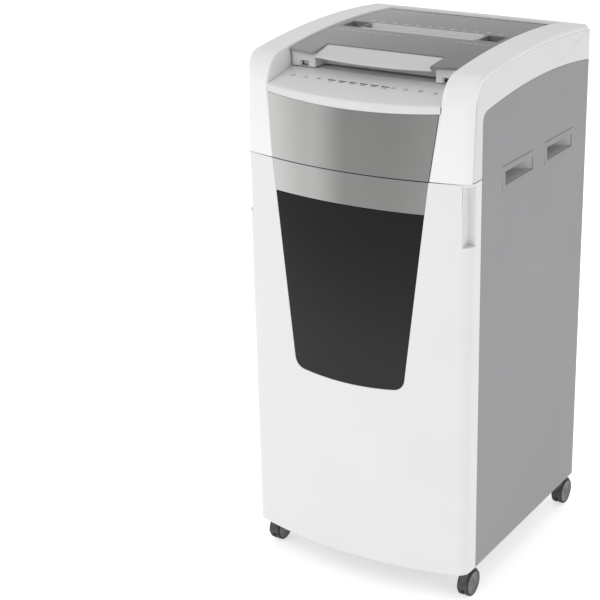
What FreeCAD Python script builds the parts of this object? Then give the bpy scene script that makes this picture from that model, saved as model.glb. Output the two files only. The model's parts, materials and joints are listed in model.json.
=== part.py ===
import FreeCAD, Part
import math
import os
from FreeCAD import Vector

# Office paper shredder with an automatic feed lid, a pull-out bin drawer and four castors.
# Millimetres. X is to the right, Y to the back, Z up. The origin is on the floor, under the middle.

# Overall body
HALF_WIDTH = 247.0          # side face from the middle plane
FRONT_Y = -285.0            # foremost point of the bowed front
BACK_Y = 265.0              # rear face
WHEEL_R = 28.0              # castor wheels
CASTOR_ROOM = 16.0          # between the wheels and the cabinet
DRAWER_H = 812.0            # underside of the cabinet to the seam between drawer and head
HEAD_H = 209.0              # seam to the highest point of the rails
BASE_Z = 2 * WHEEL_R + CASTOR_ROOM
SEAM_Z = BASE_Z + DRAWER_H
TOP_Z = SEAM_Z + HEAD_H
BOW_R = 802.0               # plan radius of the bowed front
CORNER_R = 26.0             # plan radius of the front corners
LEAN = 0.07                 # backward lean of the head's front, per unit of height
WALL = 3.0                  # thickness of the plastic shells
SEAM_GAP = 0.8              # half of the visible gap at the seam
FIT = 0.4                   # gap between neighbouring fixed shells
MOVE_GAP = 0.6              # gap between a shell and one that moves
PAST = 1.0                  # how far a cutting tool runs past what it cuts

# Arches seen from the side
CREST_Y = 40.0
CREST_R = 1950.0
RAIL_EDGE = 10.0            # rail seen above the side band
RAIL_SETBACK = 20.0         # rail's front outline behind the bow's foremost point
RAIL_FRONT_R = 58.0
RAIL_BACK_R = 12.0
RAIL_INNER = HALF_WIDTH - 60.0
BAND_DEPTH = 20.0           # how far the side band reaches round the corner
BAND_SETBACK = 48.0
BAND_FRONT_Y = FRONT_Y + BAND_SETBACK
BAND_FRONT_R = 45.0
PANEL_FRONT_Y = FRONT_Y + 82.0
PANEL_TOP_Z = TOP_Z - 68.0
PANEL_ARCH_R = 1560.0
PANEL_CORNER_R = 20.0

# Tapered panel down the front
TAPER_SEAM_HALF = RAIL_INNER - 17.0     # half width at the seam
TAPER_SLOPE = 0.1138        # growth of the half width per unit of height
TRIM_BOTTOM_Z = SEAM_Z - 64.0
WINDOW_BOTTOM_Z = TRIM_BOTTOM_Z - 367.0
WINDOW_SAG = 8.0            # rise of the window's bottom edge at its ends
WINDOW_CORNER_R = 25.0
WINDOW_SEAT = 8.0           # overlap of the flange behind the window
SEAT_T = 2.5

# Control panel
CONTROL_BACK_Y = FRONT_Y + 118.0
CONTROL_BACK_Z = TOP_Z - 52.0
CONTROL_SLOPE = 0.194
LIP_END_Z = TOP_Z - 83.0    # underside of the lip at its ends
LIP_MID_Z = LIP_END_Z - 7.5
BOARD_T = 1.6
BOARD_HALF = RAIL_INNER - 37.0
BOARD_DEPTH = 47.0
BOARD_LIFT = 2.0            # board above the lip's ends
BOARD_MARGIN = 10.0         # board edge to its posts
POST_R = 3.0

# Lid
LID_DROP = 4.0              # lid surface below the rails' crest
LID_T = 5.0
LID_FRONT_Y = FRONT_Y + 90.0
LID_BACK_Y = BACK_Y - 48.0
LID_SIDE_GAP = 1.5
HINGE_Y = LID_BACK_Y - 4.0
HINGE_Z = TOP_Z - 23.0
HINGE_PIN_R = 4.0
KNUCKLE_R = 7.0
KNUCKLE_T = 8.5
RIM_INSET = 3.5
RIM_FRONT_Y = CONTROL_BACK_Y - 1.0
RIM_BACK_Y = LID_BACK_Y - 10.0
RIM_BOTTOM_Z = TOP_Z - 35.0
SKIRT_BOTTOM_Z = CONTROL_BACK_Z + 2.0
GRIP_HALF = 127.0           # half width of the lift handle
GRIP_MARGIN = 4.0           # handle's end to the cheek beside it
GRIP_BACK_Y = RIM_FRONT_Y + 41.5
GRIP_BACK_Z = TOP_Z - 13.0
GRIP_SLOPE = 0.2
GRIP_T = 5.0
GRIP_FRONT_Y = RIM_FRONT_Y - 20.0
GRIP_WALL_Y = GRIP_BACK_Y - 7.5         # wall behind the fingers
GRIP_RIB_SHORT = 5.0        # rib under the handle, shorter at each end
BAR_FRONT_Y = LID_BACK_Y + 11.0         # front of the bar behind the lid
LOCK_X = -RAIL_INNER + 32.0             # middle of the lid lock
LOCK_DEPTH = 16.0
BOLT_W = 10.0
BOLT_H = 4.8
BOLT_GAP = 0.3
CASE_MARGIN = 5.0           # lock case beyond the bolt at each side
CASE_FLOOR = 2.6            # and below and above it
CATCH_MARGIN = 2.0          # window in the skirt beyond the bolt at each side
CATCH_ROOM = 1.6            # and below and above it

# Cutting unit
RUN = 0.05                  # radial running clearance of a shaft
MODULE = 2.0
SYNC_TEETH = 18
IDLER_TEETH = 12
ROLLER_TEETH = 22
DRIVE_TEETH = 30
SMALL_TEETH = 14
FAST_MODULE = 1.5
BIG_TEETH = 48
PINION_TEETH = 12
ADDENDUM = 0.9              # tooth above the pitch circle, in modules
DEDENDUM = 1.15             # tooth below the pitch circle, in modules
PRESSURE_ANGLE = math.radians(20)
GEAR_W = 10.0
GEAR_GAP = 4.0              # plate to the first gear
GEAR_STEP = 2.0             # between the slow and the fast gears
BACKLASH = 0.35
REDUCTION_RISE = 18.0       # reduction shaft above the cutters
MOTOR_DROP = 6.0            # motor shaft below the reduction shaft
MOTOR_R = 40.0
MOTOR_LENGTH = 120.0
MOTOR_SHAFT_R = 4.0
MOTOR_SHELL = 10.0
MOTOR_FRONT_T = 7.0
ROTOR_GAP = 3.0
FOOT_HALF = 30.0
DECK_Z = SEAM_Z + 2.0
DECK_T = 4.0
CUTTER_Z = DECK_Z + DECK_T + MODULE * (0.5 * DRIVE_TEETH + ADDENDUM) + 3.2
CUTTER_SPREAD = MODULE * SYNC_TEETH     # distance between the cutter shafts
DISC_R = 0.5 * CUTTER_SPREAD + 2.0
SPACER_R = DISC_R - 5.0
DISC_T = 3.6
DISC_PITCH = 8.0
CUTTER_SHAFT_R = 8.0
COMB_T = 3.0
COMB_H = 8.0
COMB_REACH = SPACER_R + 1.0             # finger tips from the cutter axis
COMB_BACK = DISC_R + 10.0               # back of the comb from the cutter axis
COMB_SPINE = 6.0
ROLLER_RISE = 62.0          # rollers above the cutters
ROLLER_Z = CUTTER_Z + ROLLER_RISE
ROLLER_SPREAD = MODULE * ROLLER_TEETH
ROLLER_R = 17.0
ROLLER_SHAFT_R = 5.0
TIE_R = 6.0
TIE_REACH = 51.0            # tie rods in front of and behind the slot
TIE_INSET = 12.0
BUSH_WALL = 4.0

# Paper path
SLOT_Y = 21.0
THROAT_SLOT = 8.0
THROAT_HALF_X = RAIL_INNER - 11.0
THROAT_FRONT_Y = SLOT_Y - 27.0
THROAT_BACK_Y = SLOT_Y + 27.0
THROAT_FLARE = 12.0         # mouth of the funnel beyond the slot at each end
POCKET_DEPTH = 16.0
TRAY_HALF = 112.0           # half of a 210 mm sheet and 7 mm of room
SLOT_HALF = TRAY_HALF + 4.0
TRAY_FRONT_Y = GRIP_WALL_Y + WALL
TRAY_BACK_Y = TRAY_FRONT_Y + 304.0      # a 297 mm sheet and 7 mm of room
TRAY_FLOOR_Z = ROLLER_Z + ROLLER_R - 4.0
TRAY_RIM_Z = RIM_BOTTOM_Z - 3.0
TRAY_SLOT = 8.0
TYRE_W = 24.0
TYRE_X = (35.0, TRAY_HALF - 27.0)
TYRE_ROOM = 2.0
PRESSER_HALF = TRAY_HALF - 17.0
PRESSER_Y = TRAY_FRONT_Y + 13.0
PRESSER_Z = RIM_BOTTOM_Z + 4.0
PRESSER_LENGTH = 120.0
PRESSER_DROOP = 20.0        # degrees
PRESSER_T = 2.5
PRESSER_TOE_R = 4.0
PRESSER_ROD_R = 2.5
LUG_GAP = 2.0
LUG_T = 4.0
PLATE_IN = SLOT_HALF + 9.0  # inner face of the cutter plates
PLATE_T = 4.0
PLATE_REACH = 62.0          # plates in front of and behind the slot
DISC_COUNT = 2 * int(SLOT_HALF / DISC_PITCH) + 1
CHUTE_GAP = 4.0             # between the chute and the bin
CHUTE_HALF_Y = 43.0
CHUTE_MARGIN = 2.0

# Cabinet
BASE_T = 8.0
BASE_INSET = 6.0
FRAME_OUT = HALF_WIDTH - 8.0
FRAME_T = 3.0
CUP_Y = ((-119.0, 28.0), (65.0, 209.0))
CUP_Z = (SEAM_Z - 52.0, SEAM_Z + 2.0)
CUP_MARGIN = 15.0
CUP_SILL = 13.0             # hole above the bottom of the stepped field
CUP_STEP = 2.0
CUP_DEPTH = 30.0
CUP_WALL = 2.0
RUNNER_Z = (BASE_Z + 40.0, BASE_Z + 76.0)
RUNNER_T = 10.0
RUNNER_WEB = 3.0
RUNNER_FLANGE = 9.0
VENT_ROWS = 8
VENT_PITCH = 10.0
VENT_H = 4.0
VENT_X = (-170.0, -60.0)
VENT_Z = SEAM_Z + 31.0
SCREW_R = 4.5
SCREW_T = 1.6
SCREW_X = HALF_WIDTH - 25.0
SCREW_Z = (BASE_Z + 38.0, BASE_Z + 288.0, BASE_Z + 538.0, TOP_Z - 113.0)
SCREW_RECESS_R = 1.6
SCREW_FLOOR_T = 0.6
MAIN_BOARD_X = (HALF_WIDTH - 97.0, HALF_WIDTH - 15.0)
MAIN_BOARD_Y = (BACK_Y - 175.0, BACK_Y - 40.0)
MAIN_BOARD_LIFT = 10.0
MAIN_POST_INSET = 6.0

# Mains inlet
INLET_X = HALF_WIDTH - 57.0
INLET_Z = SEAM_Z + 46.0
INLET_W = 28.0
INLET_H = 56.0
INLET_DEPTH = 28.0
INLET_FLANGE = 4.0
INLET_PROUD = 2.0
SOCKET_WALL = 2.0
SOCKET_H = 18.0
SOCKET_SILL = 4.0
SOCKET_DEPTH = 14.0
BLADE_PITCH = 7.0
BLADE_T = 2.0
BLADE_H = 4.0
BLADE_INSET = 3.0
EARTH_RISE = 6.0            # middle blade above the other two
ROCKER_DEG = 7.0
ROCKER_HALF = 9.0
ROCKER_R = 1.5              # trunnion
ROCKER_Z = INLET_Z + 0.5 * INLET_H - 15.0
ROCKER_Y = BACK_Y - 5.0

# Drawer
BIN_HALF = FRAME_OUT - FRAME_T - RUNNER_T - 16.0
BIN_INSET = 10.0
BIN_WALL = 2.5
BIN_BACK_Y = BACK_Y - 33.0
BIN_TOP_Z = SEAM_Z - 18.0
SHELF_Z = BASE_Z + BASE_T + 4.0
TRAY_T = 4.0
TRAY_SIDE_GAP = 6.0         # between the bin and the walls of the drawer's tray
TRAY_FRONT_GAP = 25.0
PULL_X = HALF_WIDTH - 15.0
PULL_BACK_Y = PANEL_FRONT_Y - 23.0
PULL_DEPTH = 35.0
PULL_Z = (SEAM_Z - 122.0, SEAM_Z - 6.0)

# Castors
CASTOR_X = HALF_WIDTH - 20.0
WHEEL_W = 10.0
WHEEL_SPACE = 4.0
WHEEL_EDGE_R = 2.0
TRAIL = 20.0
AXLE_R = 3.0
STEM_R = 5.5
HOUSING_R = 9.0
COLLAR_T = 3.0
SWIVEL_GAP = 0.3
WEB_R = WHEEL_R - 6.0
TREAD_GAP = 0.6
HOOD_T = 2.0
AXLE_Y = (FRONT_Y + 91.0, BACK_Y - 8.0)


def box(x, y, z):
    return Part.makeBox(x[1] - x[0], y[1] - y[0], z[1] - z[0], Vector(x[0], y[0], z[0]))


def rod(radius, x, y, z):
    """Cylinder along X from x[0] to x[1]."""
    return Part.makeCylinder(radius, x[1] - x[0], Vector(x[0], y, z), Vector(1, 0, 0))


def post(radius, x, y, z):
    """Cylinder along Z from z[0] to z[1]."""
    return Part.makeCylinder(radius, z[1] - z[0], Vector(x, y, z[0]))


def mirrored(shape):
    return shape.mirror(Vector(0, 0, 0), Vector(1, 0, 0))


def group(shapes):
    return Part.makeCompound(shapes)


def prism(axis, span, start, *path):
    """Extrude an outline along an axis. A step of 2 numbers is a line, one of 4 an arc by its middle."""
    low, high = span
    place = {"x": lambda a, b: Vector(low, a, b),
             "y": lambda a, b: Vector(a, low, b),
             "z": lambda a, b: Vector(a, b, low)}[axis]
    way = {"x": Vector(1, 0, 0), "y": Vector(0, 1, 0), "z": Vector(0, 0, 1)}[axis]
    edges = []
    here = place(*start)
    for step in path + (start,):
        there = place(*step[-2:])
        if len(step) == 4:
            edges.append(Part.Arc(here, place(*step[:2]), there).toShape())
        elif not here.isEqual(there, 1e-6):
            edges.append(Part.makeLine(here, there))
        here = there
    return Part.Face(Part.Wire(edges)).extrude(way * (high - low))


def plan_block(inset, z, back=BACK_Y, front=FRONT_Y, lean=0.0):
    """Block with the bowed front and round front corners, set in by inset, from z[0] to z[1]."""
    bow = BOW_R - inset
    centre_y = front + BOW_R
    corner_x = HALF_WIDTH - CORNER_R
    corner_y = centre_y - math.sqrt((BOW_R - CORNER_R) ** 2 - corner_x ** 2)
    touch_x = corner_x * bow / (BOW_R - CORNER_R)
    touch_y = centre_y - math.sqrt(bow ** 2 - touch_x ** 2)
    side = HALF_WIDTH - inset
    turn = 0.5 * math.atan2(centre_y - touch_y, touch_x)
    small = CORNER_R - inset
    mid_x = corner_x + small * math.cos(turn)
    mid_y = corner_y - small * math.sin(turn)
    far = back + abs(lean) * (z[1] - z[0]) + 50.0
    edges = [
        Part.Arc(Vector(-touch_x, touch_y, z[0]), Vector(0, front + inset, z[0]),
                 Vector(touch_x, touch_y, z[0])).toShape(),
        Part.Arc(Vector(touch_x, touch_y, z[0]), Vector(mid_x, mid_y, z[0]),
                 Vector(side, corner_y, z[0])).toShape(),
        Part.makeLine(Vector(side, corner_y, z[0]), Vector(side, far, z[0])),
        Part.makeLine(Vector(side, far, z[0]), Vector(-side, far, z[0])),
        Part.makeLine(Vector(-side, far, z[0]), Vector(-side, corner_y, z[0])),
        Part.Arc(Vector(-side, corner_y, z[0]), Vector(-mid_x, mid_y, z[0]),
                 Vector(-touch_x, touch_y, z[0])).toShape()]
    height = z[1] - z[0]
    block = Part.Face(Part.Wire(edges)).extrude(Vector(0, lean * height, height))
    return block.common(box((-side, side), (front - 1, back), z))


def arch_z(y, top, radius):
    return top - radius + math.sqrt(radius ** 2 - (y - CREST_Y) ** 2)


def arch_block(x, front, back, bottom, top, radius, front_r, back_r=0.0, lean=0.0):
    """Side outline with an arched top and round top corners, extruded from x[0] to x[1]."""
    top_front = front + lean * (top - bottom)
    block = prism("x", x, (front, bottom), (top_front, arch_z(top_front, top, radius)),
                  (CREST_Y, top, back, arch_z(back, top, radius)), (back, bottom))
    block = rounded(block, front_r, lambda p: abs(p.y - top_front) < 0.5 and p.z > bottom + 1)
    if back_r:
        block = rounded(block, back_r, lambda p: abs(p.y - back) < 0.5 and p.z > bottom + 1)
    return block


def rounded(block, radius, is_there):
    """Round the edges along X whose middle is where is_there says."""
    edges = [e for e in block.Edges
             if is_there(e.CenterOfMass) and abs(e.BoundBox.YLength) + abs(e.BoundBox.ZLength) < 0.1]
    return block.makeFillet(radius, edges)


def head_block(inset):
    """Outer form of the head, set in by inset."""
    z = (SEAM_Z + SEAM_GAP, TOP_Z + 5)
    plan = plan_block(inset, z, BACK_Y - inset, lean=LEAN)
    front = FRONT_Y + RAIL_SETBACK
    arch = arch_block((-HALF_WIDTH, HALF_WIDTH), front + inset, BACK_Y - inset, SEAM_Z, TOP_Z - inset,
                      CREST_R - inset, RAIL_FRONT_R - inset, RAIL_BACK_R - inset, LEAN)
    return plan.common(arch)


def band_region(grow=0.0):
    """The right side of the head under the seam between the rail and the side band."""
    x = (HALF_WIDTH - BAND_DEPTH, HALF_WIDTH + PAST)
    region = arch_block(x, BAND_FRONT_Y - grow, BACK_Y + PAST, SEAM_Z,
                        TOP_Z - RAIL_EDGE + grow, CREST_R - RAIL_EDGE, BAND_FRONT_R, lean=LEAN)
    return region.cut(box((0, HALF_WIDTH - WALL), (CREST_Y, BACK_Y + 2 * PAST), (SEAM_Z - PAST, TOP_Z)))


def panel_region(x, bottom=BASE_Z, grow=0.0):
    return arch_block(x, PANEL_FRONT_Y - grow, BACK_Y, bottom, PANEL_TOP_Z + grow,
                      PANEL_ARCH_R, PANEL_CORNER_R)


def taper_half(z):
    return TAPER_SEAM_HALF + TAPER_SLOPE * (z - SEAM_Z)


def taper_block(bottom, top, shrink=0.0, y=(-300.0, -150.0)):
    """The tapered panel's outline, extruded front to back."""
    low, high = taper_half(bottom) - shrink, taper_half(top) - shrink
    return prism("y", y, (-low, bottom), (low, bottom), (high, top), (-high, top))


def window_block(shrink=0.0, y=(-300.0, -150.0), top=TRIM_BOTTOM_Z):
    """The window's outline: tapered sides, round lower corners and a bottom edge that sags."""
    end_z = WINDOW_BOTTOM_Z + WINDOW_SAG + shrink
    low, high = taper_half(end_z) - shrink, taper_half(top) - shrink
    block = prism("y", y, (-low, end_z), (0, WINDOW_BOTTOM_Z + shrink, low, end_z), (high, top), (-high, top))
    corners = [e for e in block.Edges if abs(e.CenterOfMass.z - end_z) < 0.5 and e.BoundBox.YLength > 100]
    return block.makeFillet(WINDOW_CORNER_R - 0.5 * shrink, corners)


def lip_region(y, lift=0.0):
    """Everything above the lip's curved underside."""
    half = RAIL_INNER + 3
    return prism("y", y, (-half, LIP_END_Z + lift), (0, LIP_MID_Z + lift, half, LIP_END_Z + lift),
                 (half, TOP_Z + 20), (-half, TOP_Z + 20))


def base_plate():
    plate = plan_block(BASE_INSET, (BASE_Z, BASE_Z + BASE_T), BACK_Y - WALL - FIT)
    through = (BASE_Z - PAST, BASE_Z + BASE_T + PAST)
    for side in (-1, 1):
        for axle_y in AXLE_Y:
            plate = plate.cut(post(STEM_R + RUN, side * CASTOR_X, axle_y - TRAIL, through))
    return plate


def side_frames():
    """Steel plates behind the side panels."""
    x = (FRAME_OUT - FRAME_T, FRAME_OUT)
    plate = box(x, (PANEL_FRONT_Y + 18, BACK_Y - WALL - FIT), (BASE_Z + BASE_T, DECK_Z))
    room = CUP_WALL + 1
    for low, high in CUP_Y:
        y = (low + CUP_MARGIN - room, high - CUP_MARGIN + room)
        z = (CUP_Z[0] + CUP_SILL - room, CUP_Z[1] - CUP_MARGIN + room)
        plate = plate.cut(box((x[0] - PAST, x[1] + PAST), y, z))
    return group([plate, mirrored(plate)])


def cup_holes(y):
    return box((HALF_WIDTH - CUP_DEPTH, HALF_WIDTH + PAST), (y[0] + CUP_MARGIN, y[1] - CUP_MARGIN),
               (CUP_Z[0] + CUP_SILL, CUP_Z[1] - CUP_MARGIN))


def cup_field(y):
    """Shallow recess, deepest at the top front, that fades out at the bottom and the rear."""
    skin, deep = HALF_WIDTH, HALF_WIDTH - CUP_STEP
    down = prism("y", y, (skin, CUP_Z[0]), (deep, CUP_Z[1]), (skin + PAST, CUP_Z[1]), (skin + PAST, CUP_Z[0]))
    back = prism("z", CUP_Z, (deep, y[0]), (skin, y[1]), (skin + PAST, y[1]), (skin + PAST, y[0]))
    return down.common(back)


def right_side_panel():
    panel = panel_region((HALF_WIDTH - WALL, HALF_WIDTH))
    for y in CUP_Y:
        panel = panel.cut(cup_field(y))
        panel = panel.cut(cup_holes(y))
    return panel


def right_grip_cups():
    cups = []
    for y in CUP_Y:
        hole = cup_holes(y).BoundBox
        outer = box((hole.XMin - CUP_WALL, HALF_WIDTH - WALL), (hole.YMin - CUP_WALL, hole.YMax + CUP_WALL),
                    (hole.ZMin - CUP_WALL, hole.ZMax + CUP_WALL))
        cups.append(outer.cut(cup_holes(y)))
    return group(cups)


def head_shell():
    return head_block(0.0).cut(head_block(WALL)).cut(
        box((-HALF_WIDTH + WALL, HALF_WIDTH - WALL), (FRONT_Y + 40, BACK_Y - WALL), (SEAM_Z, SEAM_Z + 10)))


def right_rail(shell):
    low, high = SEAM_Z - 10, LIP_END_Z - 1
    middle = prism("y", (-300, 300), (-300, low), (taper_half(low), low), (taper_half(high), high),
                   (RAIL_INNER, high), (RAIL_INNER, TOP_Z + 20), (-300, TOP_Z + 20))
    rail = shell.cut(middle)
    rail = rail.cut(band_region())
    rail = rail.cut(box((0, HALF_WIDTH + PAST), (BACK_Y - RAIL_SETBACK, BACK_Y + PAST), (SEAM_Z, LIP_END_Z)))
    inner = box((RAIL_INNER, RAIL_INNER + WALL), (FRONT_Y, BACK_Y), (LIP_END_Z, TOP_Z + 5))
    return rail.fuse(inner.common(head_block(0.0))).removeSplitter()


def right_side_band(shell):
    x = (HALF_WIDTH - BAND_DEPTH, HALF_WIDTH + PAST)
    return shell.common(band_region(-FIT)).cut(panel_region(x, SEAM_Z - 5, FIT))


def rear_bar(shell):
    half = RAIL_INNER - FIT
    return shell.common(box((-half, half), (BAR_FRONT_Y, BACK_Y + 1), (LIP_END_Z + FIT, TOP_Z + 5)))


def rear_panel():
    y = (BACK_Y - WALL, BACK_Y)
    half = HALF_WIDTH - WALL - FIT
    panel = box((-half, half), y, (BASE_Z + 0.5 * BASE_T, LIP_END_Z))
    hole_w, hole_h = 0.5 * INLET_W + FIT, 0.5 * INLET_H + FIT
    through = (y[0] - PAST, y[1] + PAST)
    hole_x = (INLET_X - hole_w, INLET_X + hole_w)
    panel = panel.cut(box(hole_x, through, (INLET_Z - hole_h, INLET_Z + hole_h)))
    for row in range(VENT_ROWS):
        z = VENT_Z + VENT_PITCH * row
        panel = panel.cut(box(VENT_X, through, (z, z + VENT_H)))
    return panel


def head_front_panel():
    """Bowed metallic panel between the rails, from the seam up to the lip."""
    z = (SEAM_Z + SEAM_GAP, LIP_END_Z + 10)
    ring = plan_block(0.0, z, lean=LEAN).cut(plan_block(WALL, z, lean=LEAN))
    panel = ring.common(taper_block(z[0], z[1], FIT, (FRONT_Y - PAST, FRONT_Y + BAND_SETBACK)))
    return panel.cut(lip_region((FRONT_Y - PAST, FRONT_Y + BAND_SETBACK), -FIT))


def control_panel():
    """Sloping top with the touch keys and a curved lip along the front."""
    half = RAIL_INNER - FIT
    rise = CONTROL_SLOPE * (CONTROL_BACK_Y - (FRONT_Y - 10))

    def slope_block(drop, back):
        return prism("x", (-half, half), (back, LIP_MID_Z - 20), (back, CONTROL_BACK_Z - drop),
                     (FRONT_Y - 10, CONTROL_BACK_Z - drop - rise), (FRONT_Y - 10, LIP_MID_Z - 20))

    z = (SEAM_Z + SEAM_GAP, TOP_Z)
    outer = plan_block(0.0, z, lean=LEAN).common(slope_block(0.0, CONTROL_BACK_Y))
    inner = plan_block(WALL, z, lean=LEAN).common(slope_block(WALL, CONTROL_BACK_Y + 1))
    panel = outer.cut(inner).common(lip_region((-310, -150)))
    for x in (-BOARD_HALF + BOARD_MARGIN, BOARD_HALF - BOARD_MARGIN):
        stand = post(POST_R, x, CONTROL_BACK_Y - 18, (board_z() + BOARD_T, CONTROL_BACK_Z - 5))
        panel = panel.fuse(stand)
    return panel


def board_z():
    return LIP_END_Z + BOARD_LIFT


def control_board():
    z = board_z()
    back = CONTROL_BACK_Y - 8
    board = box((-BOARD_HALF, BOARD_HALF), (back - BOARD_DEPTH, back), (z, z + BOARD_T))
    chip = box((-12, 12), (back - 32, back - 14), (z - 3, z))
    return group([board, chip])


def lid_surface(drop):
    """Everything under the lid's arched surface, lowered by drop."""
    top = TOP_Z - LID_DROP - drop
    radius = CREST_R - LID_DROP - drop
    front, back, low = FRONT_Y, BACK_Y, SEAM_Z
    return prism("x", (-RAIL_INNER, RAIL_INNER), (front, low), (front, arch_z(front, top, radius)),
                 (CREST_Y, top, back, arch_z(back, top, radius)), (back, low))


def lid_panel():
    half = RAIL_INNER - LID_SIDE_GAP
    sheet = lid_surface(0.0).cut(lid_surface(LID_T))
    grip = GRIP_HALF + FIT
    z = (SEAM_Z, TOP_Z + 5)
    sheet = sheet.common(plan_block(0.0, z, LID_BACK_Y, LID_FRONT_Y))
    sheet = sheet.common(box((-half, half), (FRONT_Y, LID_BACK_Y), z))
    sheet = sheet.cut(box((-grip, grip), (FRONT_Y, GRIP_BACK_Y + FIT), z))
    return sheet.cut(box((-THROAT_HALF_X, THROAT_HALF_X), (THROAT_FRONT_Y, THROAT_BACK_Y), z))


def lid_frame():
    """Rim under the lid with the front skirts, the finger wall and the hinge knuckles."""
    out = RAIL_INNER - RIM_INSET
    rim_z = (RIM_BOTTOM_Z, TOP_Z)
    front_z = (SKIRT_BOTTOM_Z, TOP_Z)
    side = box((out - WALL, out), (RIM_FRONT_Y, RIM_BACK_Y), rim_z)
    rear = box((-out, out), (RIM_BACK_Y - WALL, RIM_BACK_Y), rim_z)
    grip_x = GRIP_HALF + GRIP_MARGIN
    skirt = box((grip_x, out), (RIM_FRONT_Y, RIM_FRONT_Y + WALL), front_z)
    catch_half = 0.5 * BOLT_W + CATCH_MARGIN
    catch_z = (bolt_z()[0] - CATCH_ROOM, bolt_z()[1] + CATCH_ROOM)
    skirt = skirt.cut(box((-LOCK_X - catch_half, -LOCK_X + catch_half),
                          (RIM_FRONT_Y - PAST, RIM_FRONT_Y + WALL + PAST), catch_z))
    cheek = box((grip_x, grip_x + WALL), (RIM_FRONT_Y, GRIP_WALL_Y + WALL), front_z)
    wall = box((-grip_x - WALL, grip_x + WALL), (GRIP_WALL_Y, GRIP_WALL_Y + WALL), front_z)
    lug = box((PRESSER_HALF + LUG_GAP, PRESSER_HALF + LUG_GAP + LUG_T), (GRIP_WALL_Y, PRESSER_Y + 7),
              (PRESSER_Z - 6, TOP_Z))
    rib_x = (-THROAT_HALF_X - 5, THROAT_HALF_X + 5)
    front_rib = box(rib_x, (THROAT_FRONT_Y - WALL, THROAT_FRONT_Y), rim_z)
    rear_rib = box(rib_x, (THROAT_BACK_Y, THROAT_BACK_Y + WALL), rim_z)
    knuckle = rod(KNUCKLE_R, (out - WALL - KNUCKLE_T, out - WALL), HINGE_Y, HINGE_Z)
    right = [side, skirt, cheek, lug, knuckle]
    frame = rear.fuse([wall, front_rib, rear_rib] + right + [mirrored(part) for part in right])
    frame = frame.common(lid_surface(LID_T)).cut(handle_plate(20.0))
    bore = HINGE_PIN_R + RUN
    for x in ((-out, -out + WALL + KNUCKLE_T + PAST), (out - WALL - KNUCKLE_T - PAST, out)):
        frame = frame.cut(rod(bore, x, HINGE_Y, HINGE_Z))
    presser_x = PRESSER_HALF + LUG_GAP + LUG_T + 2
    frame = frame.cut(rod(PRESSER_ROD_R + RUN, (-presser_x, presser_x), PRESSER_Y, PRESSER_Z))
    return frame.removeSplitter()


def handle_plate(above=0.0):
    """The handle's sloping plate, made taller by above for cutting."""
    front = GRIP_FRONT_Y - 5
    fall = GRIP_SLOPE * (GRIP_BACK_Y - front)
    under = GRIP_BACK_Z - GRIP_T
    return prism("x", (-GRIP_HALF, GRIP_HALF), (GRIP_BACK_Y, GRIP_BACK_Z + above), (GRIP_BACK_Y, under),
                 (front, under - fall), (front, GRIP_BACK_Z + above - fall))


def lid_handle():
    """Sloping plate over the finger gap, with a rib down to the finger wall."""
    rib_half = GRIP_HALF - GRIP_RIB_SHORT
    rib_z = (SKIRT_BOTTOM_Z + 2, GRIP_BACK_Z - GRIP_T)
    rib = box((-rib_half, rib_half), (GRIP_WALL_Y - WALL, GRIP_WALL_Y), rib_z)
    plan = plan_block(0.0, (SEAM_Z, TOP_Z + 5), SLOT_Y, GRIP_FRONT_Y)
    return handle_plate().common(plan).fuse(rib).removeSplitter()


def manual_feed_throat():
    """Funnel in the lid that leads single sheets down to the feed slot."""
    x = (-THROAT_HALF_X + FIT, THROAT_HALF_X - FIT)
    y = (THROAT_FRONT_Y + FIT, THROAT_BACK_Y - FIT)
    block = box(x, y, (RIM_BOTTOM_Z, TOP_Z)).common(lid_surface(0.0))
    half_slot = 0.5 * THROAT_SLOT
    mouth = SLOT_HALF + THROAT_FLARE
    funnel = prism("x", (-mouth, mouth), (SLOT_Y - half_slot, RIM_BOTTOM_Z + 6),
                   (SLOT_Y + half_slot, RIM_BOTTOM_Z + 6), (y[1] - 3, TOP_Z + 5), (y[0] + 3, TOP_Z + 5))
    slot = box((-SLOT_HALF, SLOT_HALF), (SLOT_Y - half_slot, SLOT_Y + half_slot), (RIM_BOTTOM_Z - 1, TOP_Z))
    block = block.cut(funnel).cut(slot)
    for side in (-1, 1):
        ends = sorted((side * (mouth + 4), side * (THROAT_HALF_X - 5)))
        block = block.cut(box(ends, (y[0] + 6, y[1] - 3), (TOP_Z - POCKET_DEPTH, TOP_Z + 5)))
    return block


def presser():
    """Sprung plate that holds the stack down on the pick-up rollers, drooping from its hinge rod."""
    plate = box((-PRESSER_HALF, PRESSER_HALF), (0, PRESSER_LENGTH), (-PRESSER_T, 0))
    toe = rod(PRESSER_TOE_R, (-PRESSER_HALF, PRESSER_HALF), PRESSER_LENGTH, -0.5 * PRESSER_T)
    rod_half = PRESSER_HALF + LUG_GAP + LUG_T
    hinge = rod(PRESSER_ROD_R, (-rod_half, rod_half), 0, 0)
    body = plate.fuse([toe, hinge])
    body.rotate(Vector(0, 0, 0), Vector(1, 0, 0), -PRESSER_DROOP)
    body.translate(Vector(0, PRESSER_Y, PRESSER_Z))
    return body


def lid_hinge_pins():
    out = RAIL_INNER - RIM_INSET
    pin = rod(HINGE_PIN_R, (out - WALL - KNUCKLE_T - 1, RAIL_INNER), HINGE_Y, HINGE_Z)
    return group([pin, mirrored(pin)])


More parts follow.
